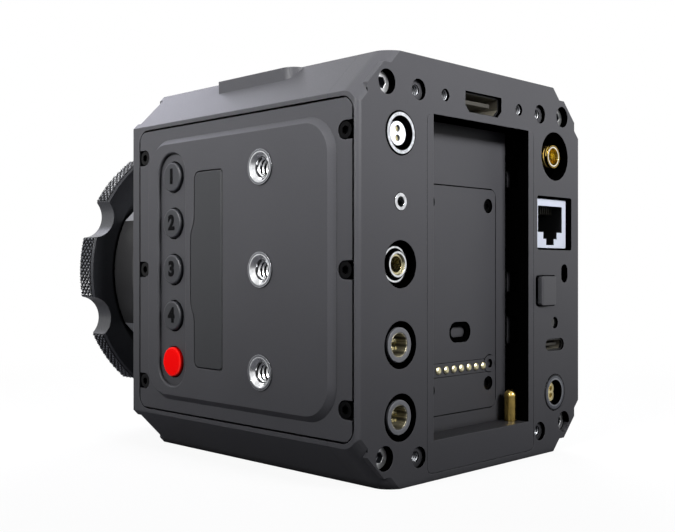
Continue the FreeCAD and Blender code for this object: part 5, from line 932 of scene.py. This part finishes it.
class CAMERA_OT_studio(bpy.types.Operator):
    """Set the pale floor, the soft lamps, the world and the viewing camera"""
    bl_idname = "camera_part.studio"
    bl_label = "Set the studio"

    def lamp(self, name, place, target, width, power, spread, colour="#ffffff"):
        """A soft lamp, 0.12 m deep, turned to its target: width in metres, spread in degrees."""
        deselect()
        bpy.ops.object.light_add(type="AREA", location=place)
        lamp = active()
        lamp.name = name
        lamp.data.shape = "RECTANGLE"
        lamp.data.size = width
        lamp.data.size_y = 0.12
        lamp.data.energy = power
        lamp.data.spread = math.radians(spread)
        lamp.data.color = srgb(colour)[:3]
        aim = Vector(target) - Vector(place)
        lamp.rotation_euler = aim.to_track_quat("-Z", "Y").to_euler()

    def seen(self, tree, also=()):
        """1 on camera rays and on the other kinds of ray that are named."""
        total = add(tree, LIGHT_PATH, output="Is Camera Ray")
        for name in also:
            total = add(tree, MATH, {0: total, 1: add(tree, LIGHT_PATH, output=name)}, operation="MAXIMUM")
        return total

    def execute(self, context):
        studio = context.scene.camera_studio
        deselect()
        bpy.ops.mesh.primitive_grid_add(x_subdivisions=8, y_subdivisions=8, size=studio.floor_size,
                                        location=(0, 0, -0.02 * MM))
        floor = active()
        floor.name = "floor"
        settle(floor)
        material, tree, place = start("pale_studio_floor")
        plain = add(tree, "ShaderNodeBsdfDiffuse", {"Color": srgb("#6c6c70")})
        lit = add(tree, "ShaderNodeBsdfDiffuse", {"Color": srgb("#f4f4f6")})
        white = add(tree, "ShaderNodeEmission", {"Color": (1, 1, 1, 1), "Strength": 1.0})
        # Away from the object the floor fades to the white of the room, sooner to the eye than in mirrors
        away = add(tree, VECTOR_MATH, {0: place}, "Value", operation="LENGTH")
        far = add(tree, MAP_RANGE, {0: away, 1: 0.05, 2: 0.30, 3: 0.91, 4: 1.0})
        shown = add(tree, MIX_SHADER, {0: far, 1: lit, 2: white})
        near = add(tree, MAP_RANGE, {0: away, 1: 0.10, 2: 0.60, 3: 0.0, 4: 1.0})
        mirrored = add(tree, MIX_SHADER, {0: near, 1: plain, 2: white})
        others = add(tree, MIX_SHADER, {0: self.seen(tree, MIRROR_RAYS), 1: plain, 2: mirrored})
        both = add(tree, MIX_SHADER, {0: self.seen(tree), 1: others, 2: shown})
        add(tree, OUTPUT, {"Surface": both})
        floor.data.materials.append(material)

        world = bpy.data.worlds.new("white_studio")
        context.scene.world = world
        world.use_nodes = True
        tree = world.node_tree
        tree.nodes.clear()
        room = add(tree, "ShaderNodeBackground", {"Color": srgb("#c8cad0"), "Strength": studio.room})
        white = add(tree, "ShaderNodeBackground", {"Color": (1, 1, 1, 1), "Strength": 1.0})
        both = add(tree, MIX_SHADER, {0: self.seen(tree, MIRROR_RAYS), 1: room, 2: white})
        add(tree, "ShaderNodeOutputWorld", {"Surface": both})

        self.lamp("side_softbox", (0.42, 0.02, 0.29), (0.05, 0.02, 0.135), 0.30, studio.side_power, 38)
        self.lamp("rear_softbox", (0.02, 0.46, 0.29), (0.02, 0.05, 0.135), 0.30, studio.rear_power, 38)
        self.lamp("front_softbox", (0.0, -0.32, 0.30), (0, 0, 0.09), 0.25, studio.front_power, 120, "#ececff")
        self.lamp("far_softbox", (-0.34, -0.28, 0.24), (-0.03, -0.03, 0.07), 0.30, studio.far_power, 70)

        # Level, about half-way up the object, and facing its rear edge on the button side
        deselect()
        bpy.ops.object.camera_add(location=(0.19547, 0.20313, 0.05025),
                                  rotation=(math.pi / 2, 0, math.radians(134.98)))
        camera = active()
        camera.name = "view_camera"
        camera.data.lens = studio.lens
        camera.data.sensor_width = 36
        camera.data.shift_y = 0.0027
        camera.data.clip_start = 0.005
        camera.data.clip_end = 50
        context.scene.camera = camera
        context.scene.view_settings.view_transform = "Standard"
        return {"FINISHED"}


class CAMERA_PT_panel(bpy.types.Panel):
    """The camera's operators and their values"""
    bl_idname = "CAMERA_PT_panel"
    bl_label = "Cinema camera"
    bl_space_type = "VIEW_3D"
    bl_region_type = "UI"
    bl_category = "Camera"

    def draw(self, context):
        for group in ("camera_colours", "camera_sizes", "camera_studio"):
            values = getattr(context.scene, group)
            box = self.layout.box()
            for name in values.bl_rna.properties.keys():
                if name not in ("rna_type", "name"):
                    box.prop(values, name)
        for operator in OPERATORS:
            self.layout.operator(operator.bl_idname)


OPERATORS = (CAMERA_OT_studio, CAMERA_OT_finishes, CAMERA_OT_ring_knurl, CAMERA_OT_button_marks,
             CAMERA_OT_threads, CAMERA_OT_socket_faces)
CLASSES = (CameraColours, CameraSizes, CameraStudio, *OPERATORS, CAMERA_PT_panel)


def register():
    for kind in CLASSES:
        bpy.utils.register_class(kind)
    bpy.types.Scene.camera_colours = bpy.props.PointerProperty(type=CameraColours)
    bpy.types.Scene.camera_sizes = bpy.props.PointerProperty(type=CameraSizes)
    bpy.types.Scene.camera_studio = bpy.props.PointerProperty(type=CameraStudio)


def unregister():
    del bpy.types.Scene.camera_studio
    del bpy.types.Scene.camera_sizes
    del bpy.types.Scene.camera_colours
    for kind in reversed(CLASSES):
        bpy.utils.unregister_class(kind)


def main():
    """Registers the add-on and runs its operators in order."""
    register()
    bpy.ops.camera_part.studio()
    bpy.ops.camera_part.finishes()
    bpy.ops.camera_part.ring_knurl()
    bpy.ops.camera_part.button_marks()
    bpy.ops.camera_part.threads()
    bpy.ops.camera_part.socket_faces()
    deselect()


if __name__ == "__main__":
    main()
